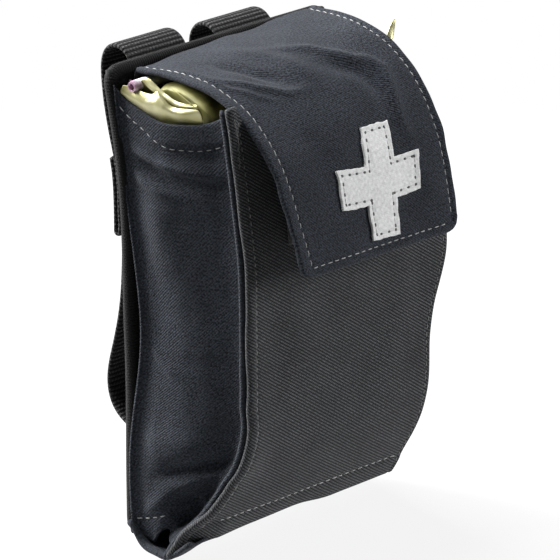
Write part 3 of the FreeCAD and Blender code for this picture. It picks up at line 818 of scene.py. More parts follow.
def make_front_panel():
    low_top, high_top = (FRONT.at_height(h) for h in (FRONT_NOTCH_HEIGHT, FRONT_CORNER_HEIGHT))
    across, up = grid(np.linspace(-1, 1, 150), np.linspace(0, 1, 230))
    leftward = -FRONT_NOMINAL_HALF * across
    top = low_top + (high_top - low_top) * ease((leftward - 38.9) / 2.2)
    bottom = 0.6 - 9.0 * ease((leftward - 34) / 11)
    bottom = bottom + 2.4 * ease(across + 1) * ease((0.35 - across) / 0.45)
    s = bottom + up * (top - bottom - 0.2)
    _, height = FRONT.side_point(s)
    wavy = 0.22 * ripple(s, across, 9, 21) * np.abs(across) ** 8
    x = across * (front_half_width(height, across < 0) - 0.6) + wavy
    hems = np.maximum(ease((FRONT_HEM - s) / 0.8), ease((s - top + 8) / 0.8))
    seam = ease(np.abs(x) - front_half_width(height, x < 0) + SEAM_INSET_LEFT)
    doubled = np.maximum(0.9 * hems, (FRONT_EDGE - FRONT_CLOTH) * seam)
    inner = FRONT.place(x, s, front_relief(x, s) - FRONT_CLOTH - doubled)
    cloth = make_ply("front_panel_cloth", front_surface(x, s), inner, cloth_uv(x, s), COARSE)
    settle(cloth, "coarse_twill", "front_panel", "front_top_hem", "front_bottom_hem")

    def beside_edge(sign, height, inset):
        return sign * (front_half_width(height, sign < 0) - inset), FRONT.at_height(height)

    heights = np.linspace(13, 149, 60)
    sides = [
        follow(front_surface, [beside_edge(sign, h, front_seam_inset(sign)) for h in heights])
        for sign in (-1, 1)
    ]
    sew("front_side_stitches", sides, DARK_THREAD, pitch=2.6, length=2.2, radius=0.24, seed=5)
    hem = follow(front_surface, [(-41.5, FRONT_HEM), (40.5, FRONT_HEM)])
    sew("front_hem_stitches", [hem], THREAD, seed=6)
    cut = [beside_edge(-1, h, inset) for h, inset in ((133, 0.9), (141, 1.6), (149, 1.2))]
    top = [(-43, FRONT.at_height(149.8)), (-40.5, FRONT.at_height(149.9))]
    frays = [follow(front_surface, cut), follow(front_surface, top)]
    sew("corner_fray", frays, FRAY, pitch=0.8, length=1.3, radius=0.11, seed=9, stray=0.8)


make_front_panel()


# ---------------------------------------------------------------- side gussets and base

GUSSET_CLOTH, FLANGE = 1.25, 2.0
FOOT_PLAN_HEIGHT = 13.0  # where the plan is read for the stitches along the foot
REAR_LIP_X = [
    (5, 49.6), (15, 50.1), (35, 50.0), (46, 48.8), (60, 47.4), (86, 46.5), (105, 47.0), (130, 48.0),
    (152, 48.4),
]
REAR_LIP_DEPTH = [
    (5, 5.7), (15, 5.4), (35, 5.1), (46, 5.4), (60, 6.5), (73, 6.8), (86, 5.5), (105, 2.9),
    (130, -0.3), (152, -2.6),
]
# Heights across a side wall, from its rear lip at 0 to its front lip at 1.
GUSSET_TOP_REAR = [(0, 150.6), (0.07, 146.8), (0.2, 143.8), (0.35, 141.7)]
GUSSET_TOP = {
    "left": GUSSET_TOP_REAR + [(0.52, 141.5), (0.85, 145.0), (1, 149.6)],
    "right": GUSSET_TOP_REAR + [(0.52, 141.2), (0.85, 142.0), (1, 143.2)],
}
GUSSET_BOTTOM = {
    "left": [
        (0, 8.4), (0.07, 6.6), (0.15, 5.4), (0.3, 6.0), (0.48, 8.8), (0.65, 10.5), (0.85, 8),
        (1, 3.4),
    ],
    "right": [
        (0, 7.4), (0.07, 5.6), (0.17, 4.4), (0.32, 4.4), (0.48, 6.2), (0.62, 8.2), (0.83, 9.0),
        (1, 9.2),
    ],
}
WALL_START, WALL_END = 0.15, 0.86
GUSSET_FOOT_HEM = [(3.4, 11.5), (12.7, 13.3), (21.6, 18.0)]
GUSSET_SWELL = [(0, 0), (0.15, 0.4), (0.4, 2.0), (0.6, 1.1), (0.82, -1.4), (0.93, -1.0), (1, 0)]
GUSSET_SWELL_HEIGHTS = [(0, 0.1), (30, 0.8), (80, 1.0), (135, 0.8), (150, 0.4)]
# Runs of (depth, height) on the side wall, how wide each fold is, and how far it stands out.
GUSSET_FOLDS = [
    ([(-1, 134), (4, 131.5), (12, 129), (25, 127), (33, 127)], 1.5, 1.2),
    ([(2, 124), (11, 120.6), (19, 118.5)], 1.7, 1.1),
    ([(2, 129), (17, 124), (36, 123.5)], 2.6, -1.6),
    ([(15, 134), (25, 132.5), (35, 133)], 2.2, -0.9),
    ([(14, 122), (13.5, 110), (15.3, 100), (17.5, 90)], 5.5, 1.0),
    ([(24, 120), (27, 95), (27, 70)], 9.0, -0.9),
    ([(7.6, 92), (7.4, 70)], 2.0, 0.7),
    ([(7.8, 69.6), (13, 65), (18, 62), (22, 60.4)], 1.5, 0.6),
    ([(6.8, 39), (19.4, 38), (33, 38)], 5.5, 1.0),
    ([(14, 27), (21, 31), (28, 34), (38, 37)], 2.4, -1.9),
    ([(19.7, 24.5), (28, 28), (36, 32)], 1.8, 1.0),
    ([(17, 18.5), (25, 22), (33, 26.5)], 2.2, -1.9),
    ([(6, 14), (17.4, 20), (24, 23)], 2.4, 0.7),
    ([(19, 12), (24, 15), (29, 20)], 4.5, -3.6),
]


def gusset_plan(t, height, side):
    """Depth, and distance from the middle plane, across a side wall from rear lip to front lip."""
    sign = -1 if side == "left" else 1
    front_x = front_half_width(height, side == "left") - 0.4
    front_s = FRONT.at_height(height)
    front_depth, _ = FRONT.side_point(front_s, front_relief(sign * front_x, front_s))
    rear_depth, rear_x = smooth(REAR_LIP_DEPTH, height), smooth(REAR_LIP_X, height)
    lip_depth = front_depth - FRONT_EDGE - FLANGE - 0.5
    wall_rear_x = rear_x - 2.2
    wall_front_x = front_x - 3.4
    depths = [rear_depth, rear_depth + 0.4, rear_depth + 2.2, rear_depth + 6,
              lip_depth - 4.4, lip_depth - 1.5, lip_depth - 0.15, lip_depth]
    spans = [rear_x, rear_x - 0.8, rear_x - 1.6, wall_rear_x,
             wall_front_x + 0.2, wall_front_x, wall_front_x + 1.6, front_x]
    marks = np.array([0, 0.035, 0.075, WALL_START, WALL_END, 0.93, 0.965, 1.0])
    depth, span = np.zeros(np.shape(t)), np.zeros(np.shape(t))
    for k in range(len(marks) - 1):
        here = (t >= marks[k]) & (t <= marks[k + 1])
        share = (t - marks[k]) / (marks[k + 1] - marks[k])
        depth = np.where(here, depths[k] + (depths[k + 1] - depths[k]) * share, depth)
        span = np.where(here, spans[k] + (spans[k + 1] - spans[k]) * share, span)
    return depth, span


def gusset_hem(t):
    """How far the top hem's stitches are below its edge."""
    return 4.2 + 3.4 * ease(t / 0.5)


def wall_share(t):
    """1 on the open wall and 0 on the lips."""
    return ease((t - 0.06) / 0.12) * ease((0.95 - t) / 0.1)


def gusset_relief(t, depth, height, top, side):
    strength, shift, seed = (1.35, 0.0, 31) if side == "left" else (1.08, 2.5, 37)
    relief = smooth(GUSSET_SWELL, t) * smooth(GUSSET_SWELL_HEIGHTS, height)
    relief = relief + folds(depth + shift, height - shift, GUSSET_FOLDS, strength)
    relief = relief + 0.3 * ripple(depth, height, 13, seed)
    relief = relief + 0.09 * ripple(depth, height, 4.5, 33)
    hem = gusset_hem(t) - (top - height)
    relief = relief - 0.4 * hump(hem, DITCH_WIDTH) + 0.3 * ease(hem / 2)
    foot = height - smooth(GUSSET_FOOT_HEM, depth)
    return relief - 0.4 * hump(foot, DITCH_WIDTH) * ease((19 - depth) / 2)


def blur(values, times):
    """Softens the corners of a plan line along its rows, keeping its ends."""
    for _ in range(times):
        values = values.copy()
        values[:, 1:-1] = (values[:, :-2] + 2 * values[:, 1:-1] + values[:, 2:]) / 4
    return values


def gusset_grid(side, columns=110, rows=190):
    """The outer face of a side wall: its points, directions across it and places on the cloth."""
    sign = -1 if side == "left" else 1
    rear_lip, front_lip = np.linspace(0, WALL_START, 26)[:-1], np.linspace(WALL_END, 1, 26)[1:]
    wall = np.linspace(WALL_START, WALL_END, columns - 50)
    t, b = grid(np.concatenate([rear_lip, wall, front_lip]), np.linspace(0, 1, rows))
    bottom, top = smooth(GUSSET_BOTTOM[side], t), smooth(GUSSET_TOP[side], t)
    height = bottom + b * (top - bottom)
    depth, span = gusset_plan(t, height, side)
    depth, span = blur(depth, 6), blur(span, 6)
    span = span + wall_share(t) * gusset_relief(t, depth, height, top, side)
    surface = point(sign * span, depth, height)
    normals = np.cross(np.gradient(surface, axis=1), np.gradient(surface, axis=0))
    normals /= np.linalg.norm(normals, axis=-1)[..., None]
    steps = np.hypot(np.diff(depth), np.diff(span))
    travel = np.concatenate([np.zeros((rows, 1)), np.cumsum(steps, axis=1)], axis=1)
    return t, b, surface, normals, travel, height


def read_grid(t_marks, b_marks, values, t, b):
    """Bilinear reading of a grid of points."""
    i = np.clip(np.searchsorted(t_marks, t) - 1, 0, len(t_marks) - 2)
    j = np.clip(np.searchsorted(b_marks, b) - 1, 0, len(b_marks) - 2)
    p = ((t - t_marks[i]) / (t_marks[i + 1] - t_marks[i]))[..., None]
    q = ((b - b_marks[j]) / (b_marks[j + 1] - b_marks[j]))[..., None]
    low = values[j, i] * (1 - p) + values[j, i + 1] * p
    high = values[j + 1, i] * (1 - p) + values[j + 1, i + 1] * p
    return low * (1 - q) + high * q


def make_gusset(side):
    t, b, surface, normals, travel, height = gusset_grid(side)
    thickness = GUSSET_CLOTH + (FLANGE - GUSSET_CLOTH) * ease((t - 0.95) / 0.03)
    inner = surface - normals * (thickness * MM)[..., None]
    cloth = make_ply("side_gusset_%s_cloth" % side, surface, inner, cloth_uv(travel, height), TWILL)
    nodes = [part + side for part in ("side_gusset_", "front_seam_binding_", "rear_seam_binding_")]
    settle(cloth, "ripstop_twill", *nodes)

    def face(place, share, lift):
        low = read_grid(t[0], b[:, 0], surface, place, share)
        return low + read_grid(t[0], b[:, 0], normals, place, share) * lift * MM

    def limits(places):
        return smooth(GUSSET_BOTTOM[side], places), smooth(GUSSET_TOP[side], places)

    hem_places = np.linspace(0.03, 0.95, 60)
    bottom, top = limits(hem_places)
    hem = 1 - gusset_hem(hem_places) / (top - bottom)
    foot_places = np.linspace(0.03, 0.5, 30)
    bottom, top = limits(foot_places)
    foot_depth, _ = gusset_plan(foot_places, np.full(30, FOOT_PLAN_HEIGHT), side)
    foot = (smooth(GUSSET_FOOT_HEM, foot_depth) - bottom) / (top - bottom)
    runs = [
        follow(face, list(zip(places, shares)), step=0.008)
        for places, shares in ((hem_places, hem), (foot_places, foot))
    ]
    sew("gusset_stitches_" + side, runs, THREAD, pitch=3.1, length=2.4, seed=8)


BASE_ARCH = [(4.4, 6.2), (6.2, 4.4), (9, 3.8), (15, 4.4), (21, 6.2), (26, 8.9), (29.8, 10.8)]
BASE_LEFT_END = [
    (4.4, 9.2), (5.9, 8.0), (8.5, 4.8), (11, 3.0), (16, 2.1), (20.7, 1.9), (23.7, 3.4), (29.8, 8.2),
]
BASE_RIGHT_END = [
    (4.4, 9.2), (5.9, 8.0), (8.5, 6.2), (11, 5.2), (16, 4.8), (20.7, 5.4), (23.7, 6.4), (29.8, 8.8),
]
BASE_HALF_WIDTH, BASE_REAR, BASE_FRONT = 50.2, 4.6, 29.6
BASE_RIGHT_TAPER = 0.165


def make_base():
    """The floor of the pouch, arched between the two side seams, where it hangs lower."""
    half = BASE_HALF_WIDTH
    x, depth = grid(np.linspace(-half, half, 130), np.linspace(BASE_REAR, BASE_FRONT, 40))
    forward = (depth - BASE_REAR) / (BASE_FRONT - BASE_REAR)
    x = x * np.where(x > 0, 1 - BASE_RIGHT_TAPER * forward, 1)
    ends = np.where(x < 0, smooth(BASE_LEFT_END, depth), smooth(BASE_RIGHT_END, depth))
    share = ease((np.abs(x) - 34) / 13)
    height = smooth(BASE_ARCH, depth) * (1 - share) + ends * share
    height = height + 0.3 * ripple(x, depth, 10, 41) * (1 - share)
    thickness = 1.2 + 1.0 * ease((np.abs(x) - half + 3) / 2)
    lower, upper = point(x, depth, height), point(x, depth, height + thickness)
    cloth = make_ply("base_cloth", lower, upper, cloth_uv(x, depth), TWILL)
    settle(cloth, "ripstop_twill", "base_panel")


for word in ("left", "right"):
    make_gusset(word)
make_base()


# ---------------------------------------------------------------- flap

FLAP_CLOTH, FLAP_LINING, LINING_GAP = 1.2, 0.7, 0.1
FLAP_TIP_HEM = 2.6
FLAP_CORNER_START = 0.87  # of the half width, where the tip's rounded corners begin
FLAP_EDGE = [(0, 40.8), (24, 39.8), (46, 38.7), (64, 38.0), (80, 36.5), (99.4, 34.7)]
# Runs of (x, s), how wide each fold is, and how far it stands out.
FLAP_FOLDS = [
    ([(-5, 20), (8.4, 27), (12, 32), (17, 37.5), (22, 39.6), (24.5, 44), (22, 52), (20, 61),
      (22, 72)], 2.4, 0.95),
    ([(-38, 9), (-33, 27), (-25, 36), (-16, 42), (-7, 43)], 1.8, 0.85),
    ([(-37, 20), (-33, 33), (-27, 40), (-20, 44)], 1.3, 0.5),
    ([(-15, 12), (-7.5, 25), (-4.5, 34), (2, 44)], 4.5, 0.8),
    ([(-24, 16), (-18.5, 30), (-12, 38.5)], 2.6, -1.1),
    ([(6, 35), (14, 41), (17.5, 46), (17, 55)], 3.2, -0.9),
    ([(-30, 52), (-20, 60), (-18, 74)], 6.0, -0.5),
    ([(24, 78), (27, 90)], 5.0, 0.4),
]


def flap_half_width(s, x=-1.0):
    """The right edge is drawn in over the foil, down to where the flap's front hangs free."""
    return smooth(FLAP_EDGE, s) - 1.8 * ease((86 - s) / 28) * (x > 0)


def flap_hem(s, x=-1.0):
    """The stitches keep closer to the right edge than to the left."""
    return 2.9 + (0.1 + 1.3 * ease((s - 10) / 35)) * (x < 0)


def flap_relief(x, s):
    half, hem = flap_half_width(s, x), flap_hem(s, x)
    side, end = half - np.abs(x), FLAP.length - s
    droop = -1.8 * ease(-x / 40) * ease(1.3 - s / 55)
    droop = droop + 1.3 * ease(x / 40) * (1 - 0.5 * ease(s / 90))
    pull = 0.75 + 0.25 * np.cos(2 * np.pi * s / 3.0)
    past_side, past_end = side - hem, end - FLAP_TIP_HEM
    away = np.where(past_end < 0, np.hypot(past_side, past_end), np.abs(past_side))
    away = np.minimum(away, np.where(past_side > 0, np.abs(past_end), away))
    margin = np.maximum(ease(1.6 * (1 - side / hem)), ease(1.6 * (1 - end / FLAP_TIP_HEM)))
    relief = droop - 0.42 * pull * hump(away, DITCH_WIDTH) + 0.25 * margin
    relief = relief + folds(x, s, FLAP_FOLDS, 1.5)
    inside = ease(past_side / 4)
    return relief + inside * 0.25 * ripple(x, s, 13, 51) + 0.08 * ripple(x, s, 5, 52)


def flap_surface(x, s, lift=0.0):
    return FLAP.place(x, s, flap_relief(x, s) + lift)


def flap_grid(inset, columns, rows):
    across, along = grid(np.linspace(-1, 1, columns), np.linspace(0, 1, rows))
    rounding = (np.abs(across) - FLAP_CORNER_START) / (1 - FLAP_CORNER_START)
    rounding = np.clip(rounding, 0, 1)
    corner = np.where(across > 0, 3.4, 1.8) * (1 - np.sqrt(1 - 0.98 * rounding**2))
    s = inset + along * (FLAP.length - 2 * inset - corner)
    wavy = 0.25 * ripple(s, across, 8, 55) * np.abs(across) ** 8
    return across * (flap_half_width(s, across) - inset) + wavy, s


def blend_at_fold(piece):
    """Bakes the piece's placement into its mesh."""
    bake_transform(piece)


def make_flap():
    x, s = flap_grid(0.7, 150, 180)
    side, end = flap_half_width(s, x) - np.abs(x), FLAP.length - s
    folded = ease((flap_hem(s, x) + 0.4 - side) / 0.8)
    folded = np.maximum(folded, ease((FLAP_TIP_HEM + 0.6 - end) / 0.8))
    inner = flap_surface(x, s, -FLAP_CLOTH - 0.75 * folded)
    cloth = make_ply("flap_cloth", flap_surface(x, s), inner, cloth_uv(x, s), TWILL)
    settle(cloth, "ripstop_twill", "flap_top_cover", "flap_front_cover", body=None)
    blend_at_fold(cloth)

    across, along = grid(np.linspace(-1, 1, 80), np.linspace(0, 1, 110))
    s = 2.0 + along * (FLAP.length - 5.4)
    x = across * (flap_half_width(s, across) - flap_hem(s, across) - 0.9)
    upper = flap_surface(x, s, -FLAP_CLOTH - LINING_GAP)
    lower = flap_surface(x, s, -FLAP_CLOTH - LINING_GAP - FLAP_LINING)
    lining = make_ply("flap_lining_cloth", upper, lower, cloth_uv(x, s), LINING)
    settle(lining, "lining_cloth", "flap_top_lining", "flap_front_lining", body=None)
    blend_at_fold(lining)

    def seam(sign, s):
        return sign * float(flap_half_width(s, sign) - flap_hem(s, sign)), s

    tip = FLAP.length - FLAP_TIP_HEM
    sides = [[seam(sign, s) for s in np.linspace(0.5, tip, 50)] for sign in (-1, 1)]
    runs = [follow(flap_surface, run) for run in (*sides, [seam(-1, tip), seam(1, tip)])]
    blend_at_fold(sew("flap_stitches", runs, THREAD, None, seed=14))


def make_flap_root():
    """The strip that ties the flap's rear edge to the back panel."""
    line = Line([(-2.6, 149.5), (-2.6, 152.5), (-1.6, 154.4), (1.2, 154.9), (5, 154.8)], 1)
    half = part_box("flap_seam_tape")[1].x / MM - 0.5
    x, s = grid(np.linspace(-half, half, 60), np.linspace(0.3, line.length - 0.3, 26))
    waver = 0.12 * ripple(x, s, 9, 61)
    upper, lower = line.place(x, s, waver), line.place(x, s, waver - 0.8)
    strip = make_ply("flap_root_strip", upper, lower, cloth_uv(x, s), SEAM)
    settle(strip, "seam_binding", "flap_seam_tape", body=None)
    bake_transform(strip)


make_flap()
make_flap_root()


# ---------------------------------------------------------------- cross patch

PATCH_THICKNESS, PATCH_GAP = 0.8, 0.1
CUT_WAVER = 0.2
# The hand-cut corners, (x, s) on the flap: inner corners, then the two outer corners of each arm.
INNER = [(-0.6, 72.0), (12.0, 71.7), (9.8, 84.0), (-2.7, 83.9)]
ARMS = [
    [(2.5, 60.3), (14.2, 60.5)],
    [(22.6, 71.6), (20.4, 83.6)],
    [(8.4, 95.2), (-3.3, 94.8)],
    [(-14.0, 83.0), (-12.8, 70.6)],
]
CROSS_STITCH_INSET, CROSS_STITCH_PITCH = 1.7, 3.3
HOLE_SIDES = 8
HOLE_RINGS = [(0.56, -0.1), (0.48, 0.09), (0.15, 0.13)]  # (radius, lift)


def cross_outline():
    corners = []
    for k, (first, second) in enumerate(ARMS):
        corners += [INNER[k], first, second]
    return np.array(corners, float)


def inset_polygon(corners, distance):
    """The polygon moved inwards by this distance. Its corners run clockwise, with s downwards."""
    count = len(corners)
    moved = []
    for k in range(count):
        a, b, c = corners[k - 1], corners[k], corners[(k + 1) % count]
        first, second = (b - a) / np.linalg.norm(b - a), (c - b) / np.linalg.norm(c - b)
        inward_first, inward_second = (np.array([-way[1], way[0]]) for way in (first, second))
        gap = (c + inward_second * distance) - (a + inward_first * distance)
        shares = np.linalg.solve(np.stack([first, -second], axis=1), gap)
        moved.append(a + inward_first * distance + first * shares[0])
    return np.array(moved)


def closed_run(corners):
    return np.vstack([corners, corners[:1]])


CROSS_EDGE = closed_run(cross_outline())
CROSS_SEAM = closed_run(inset_polygon(cross_outline(), CROSS_STITCH_INSET))


def patch_surface(x, s, lift=0.0):
    from_seam, from_edge = (distance_to_run(x, s, run)[0] for run in (CROSS_SEAM, CROSS_EDGE))
    relief = -0.22 * hump(from_seam, 0.5) + 0.12 * np.exp(-from_edge / 0.8)
    relief = relief + 0.05 * ripple(x, s, 3, 71)
    return flap_surface(x, s, PATCH_THICKNESS + PATCH_GAP + relief + lift)


def make_cross():
    """Five four-sided fields, the middle and the arms, on one welded grid given a thickness."""
    steps = 16
    fields = [INNER] + [[INNER[k], *arm, INNER[(k + 1) % 4]] for k, arm in enumerate(ARMS)]
    places, faces = [], []
    p, q = grid(np.linspace(0, 1, steps), np.linspace(0, 1, steps))
    p, q = p[..., None], q[..., None]
    for a, b, c, d in np.array(fields, float):
        index = len(places) * steps * steps + np.arange(steps * steps).reshape(steps, steps)
        spots = a * (1 - p) * (1 - q) + b * p * (1 - q) + c * p * q + d * (1 - p) * q
        places.append(spots.reshape(-1, 2))
        faces += quads(index[:-1, :-1], index[:-1, 1:], index[1:, 1:], index[1:, :-1]).tolist()
    places = np.vstack(places)
    _, keep, group = np.unique(np.round(places, 4), axis=0, return_index=True, return_inverse=True)
    group = group.reshape(-1)
    places = places[keep]
    faces = [[int(group[i]) for i in face] for face in faces]
    seen = dict.fromkeys(side for face in faces for side in zip(face, face[1:] + face[:1]))
    rim = [(a, b) for a, b in seen if (b, a) not in seen]
    onrim = np.zeros(len(places), bool)
    onrim[[a for a, _ in rim]] = True
    x, s = places.T
    waver = CUT_WAVER * np.stack([ripple(s, x, 2.6, 72), ripple(x, s, 2.6, 73)], axis=1)
    places = places + waver * onrim[:, None]

    count = len(places)
    x, s = places.T
    top, bottom = patch_surface(x, s), flap_surface(x, s, PATCH_GAP)
    solid = faces + [[i + count for i in reversed(face)] for face in faces]
    solid += [[b, a, a + count, b + count] for a, b in rim]
    uv = np.vstack([places, places]) * MM
    edge = np.tile(onrim.astype(float), 2)
    patch = make_object("cross_patch_cloth", np.vstack([top, bottom]), solid, PATCH, uv, edge)
    bevel = patch.modifiers.new("soft_edge", "BEVEL")
    bevel.width, bevel.segments = 0.16 * MM, 2
    bevel.limit_method, bevel.angle_limit = "ANGLE", math.radians(50)
    settle(patch, "white_patch", "cross_patch", body="flap_front")

    ends = zip(CROSS_SEAM, CROSS_SEAM[1:])
    runs = [follow(patch_surface, [a, b], step=0.3) for a, b in ends]
    stitch = {"pitch": CROSS_STITCH_PITCH, "length": 2.7, "radius": 0.2, "seed": 15}
    sew("cross_stitches", runs, PATCH_THREAD, "flap_front", **stitch)
    make_needle_holes(runs)


def make_needle_holes(runs):
    """A dark dimple where each stitch goes down."""
    turn = np.linspace(0, 2 * np.pi, HOLE_SIDES, endpoint=False)[:, None]
    points, faces = [], []
    for line, up in runs:
        length = np.linalg.norm(line[-1] - line[0]) / MM
        for place in np.arange(0.1, length, CROSS_STITCH_PITCH):
            k = min(int(place / length * (len(line) - 1)), len(line) - 2)
            forward = line[k + 1] - line[k]
            forward /= np.linalg.norm(forward)
            ring = forward * np.cos(turn) * 1.25 + np.cross(forward, up[k]) * np.sin(turn)
            faces += tube_faces(len(points) * HOLE_SIDES, len(HOLE_RINGS), HOLE_SIDES)
            points += [line[k] + (ring * radius + up[k] * lift) * MM for radius, lift in HOLE_RINGS]
    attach(make_object("cross_needle_holes", np.vstack(points), faces, HOLE), "flap_front")


make_cross()


# ---------------------------------------------------------------- hook-and-loop closure

LOOP_TAPE_BOTTOM, LOOP_TAPE_TOP = 106, 138
HOOK_TAPE_START, HOOK_TAPE_END = 0.7, 0.92  # of the flap's length
HOOK_PROFILE = [(0, 0), (0.05, -0.3), (0.25, -0.5), (0.45, -0.42), (0.5, -0.25)]  # (across, drop)
HOOK_SECTION = [(-0.13, -0.13), (0.13, -0.13), (0.13, 0.13), (-0.13, 0.13)]
HOOK_PITCH_X, HOOK_PITCH_S = 1.5, 1.3


def make_loop_tape():
    low, high = FRONT.at_height(LOOP_TAPE_BOTTOM), FRONT.at_height(LOOP_TAPE_TOP)
    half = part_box("loop_tape")[1].x / MM - 0.4
    x, s = grid(np.linspace(-half, half, 130), np.linspace(low, high, 84))
    tufts = 0.16 * ripple(x, s, 0.9, 81, waves=25) + 0.08 * ripple(x, s, 3, 82)
    outer, inner = front_surface(x, s, 1.15 + tufts), front_surface(x, s, 0.15)
    tape = make_ply("loop_tape_pile", outer, inner, cloth_uv(x, s), LOOP_PILE)
    settle(tape, "hook_and_loop", "loop_tape")
    side, first, last = half - 1.5, low + 1.5, high - 1.5
    corners = np.array([(-side, first), (side, first), (side, last), (-side, last)])
    run = follow(lambda x, s, lift: front_surface(x, s, 1.2 + lift), closed_run(corners))
    sew("loop_tape_stitches", [run], BLACK_THREAD, seed=17)


def make_hook_tape():
    low, high = HOOK_TAPE_START * FLAP.length, HOOK_TAPE_END * FLAP.length
    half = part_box("hook_tape")[1].x / MM - 0.3
    top = -FLAP_CLOTH - FLAP_LINING - 0.2
    x, s = grid(np.linspace(-half, half, 50), np.linspace(low, high, 26))
    base, under = flap_surface(x, s, top), flap_surface(x, s, top - 0.45)
    tape = make_ply("hook_tape_backing", base, under, cloth_uv(x, s), HOOKS)
    settle(tape, "hook_and_loop", "hook_tape", body="flap_front")

    hook = [
        (across + dx, ds, drop) for across, drop in HOOK_PROFILE for dx, ds in HOOK_SECTION
    ]
    dx, ds, drop = np.array(hook).T
    points, faces = [], []
    for x in np.arange(-half + 1.2, half - 1, HOOK_PITCH_X):
        for s in np.arange(low + 1.2, high - 1, HOOK_PITCH_S):
            faces += tube_faces(len(points) * len(hook), len(HOOK_PROFILE), len(HOOK_SECTION))
            points.append(flap_surface(x + dx, s + ds, top - 0.4 + drop))
    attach(make_object("hook_tape_hooks", np.vstack(points), faces, HOOKS), "flap_front")


make_loop_tape()
make_hook_tape()


# ---------------------------------------------------------------- webbing straps and snaps

WEB, WEB_HALF_WIDTH = 1.6, 12.5
RIB_HEIGHT = 0.09
HEM_TOP_FRACTION = 0.705
BELT_STRAP_SAG = {"left": 1.9, "right": 3.2}


def strap_middle(side):
    low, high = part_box("belt_strap_" + side)
    return (low.x + high.x) / 2 / MM


def make_webbing(name, line, start, end, middle):
    """Ribbed webbing whose middle ply follows the line."""
    half = WEB_HALF_WIDTH - WEB / 2
    x, s = grid(np.linspace(-half, half, 26), np.linspace(start, end, int((end - start) / 0.3)))
    selvage = ease((WEB_HALF_WIDTH - np.abs(x) - 0.8) / 0.8)
    rib = RIB_HEIGHT * np.sin(2 * np.pi * s / RIB_PITCH) * selvage
    outer = line.place(middle + x, s, WEB / 2 - 0.1 + rib)
    inner = line.place(middle + x, s, -WEB / 2 + 0.1 - rib)
    return make_ply(name, outer, inner, cloth_uv(x, s), WEBBING)


def belt_strap_line(sag):
    """Sewn to the back panel, up over the belt, down behind it and folded back at the end."""
    anchor = [BACK.side_point(BACK.at_height(h), 0.95) for h in (126.5, 134, 142, 148)]
    leg = [STRAP_FACE.side_point(s, -WEB / 2) for s in np.linspace(1.5, STRAP_FACE.length, 15)]
    end = np.array(leg[-1])
    radius = WEB / 2 + 0.12
    angles = np.radians([35, 90, 145])
    turn = [end + radius * np.array([-1 + math.cos(a), -math.sin(a)]) for a in angles]
    hem = np.linspace(STRAP_FACE.length - 0.3, HEM_TOP_FRACTION * STRAP_FACE.length, 6)
    back = [STRAP_FACE.side_point(s, WEB / 2 + 0.22) for s in hem]
    points = np.array(anchor + leg + turn + back)
    points[:, 1] -= sag * ease((points[:, 1] - 146) / 12)
    return Line(points, -1)


def box_stitch(surface, middle, low, high, half=9.5):
    """A sewn box with a cross in it."""
    left, right = middle - half, middle + half
    corners = [(left, low), (right, low), (right, high), (left, high)]
    runs = [corners + corners[:1], corners[::2], corners[1::2]]
    return [follow(surface, run) for run in runs]


def make_belt_strap(side):
    body, middle = "belt_strap_" + side, strap_middle(side)
    line = belt_strap_line(BELT_STRAP_SAG[side])
    strap = make_webbing("webbing_" + side, line, 0.4, line.length - 0.4, middle)
    nodes = [part + side for part in ("strap_anchor_", "strap_loop_", "strap_end_hem_")]
    settle(strap, "black_webbing", body, *nodes, body=None)
    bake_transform(strap)

    low, high = BACK.at_height(129), BACK.at_height(146)
    anchor = box_stitch(lambda x, s, lift: BACK.place(x, s, 1.65 + lift), middle, low, high)
    sew("anchor_stitches_" + side, anchor, BLACK_THREAD, seed=19)

    def outer(x, s, lift):
        return STRAP_FACE.place(x, s, WEB + 0.2 + lift)

    rows = [STRAP_FACE.length - above for above in (2.5, 5, 21)]
    runs = [follow(outer, [(middle - 10.5, s), (middle + 10.5, s)]) for s in rows]
    sew("hem_stitches_" + side, runs, DARK_THREAD, body, seed=20)


def make_lower_strap(side):
    middle = strap_middle(side)
    along = np.linspace(0, LOWER_STRAP_FACE.length, 24)
    line = Line([LOWER_STRAP_FACE.side_point(s, WEB / 2) for s in along], 1)
    strap = make_webbing("lower_webbing_" + side, line, 0.8, line.length - 0.8, middle)
    settle(strap, "black_webbing", "lower_strap_" + side)

    def outer(x, s, lift):
        return LOWER_STRAP_FACE.place(x, s, WEB - 0.05 + lift)

    runs = box_stitch(outer, middle, 1.5, 14)
    sew("lower_strap_stitches_" + side, runs, BLACK_THREAD, seed=21)


def finish_nodes(material, *names):
    """Gives CAD pieces that keep their own shapes their finish."""
    for name in names:
        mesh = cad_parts[name].data
        mesh.materials.clear()
        mesh.materials.append(material)
        for polygon in mesh.polygons:
            polygon.material_index = 0


for word in ("left", "right"):
    make_belt_strap(word)
    make_lower_strap(word)
    finish_nodes(METAL, "snap_cap_" + word, "snap_socket_" + word)
finish_nodes(METAL, "snap_studs", "snap_back_plates")


# ---------------------------------------------------------------- contents

BAND_LAYERS = 5


def box_of(name):
    """The low and high corners of a CAD node, in millimetres."""
    return [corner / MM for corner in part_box(name)]


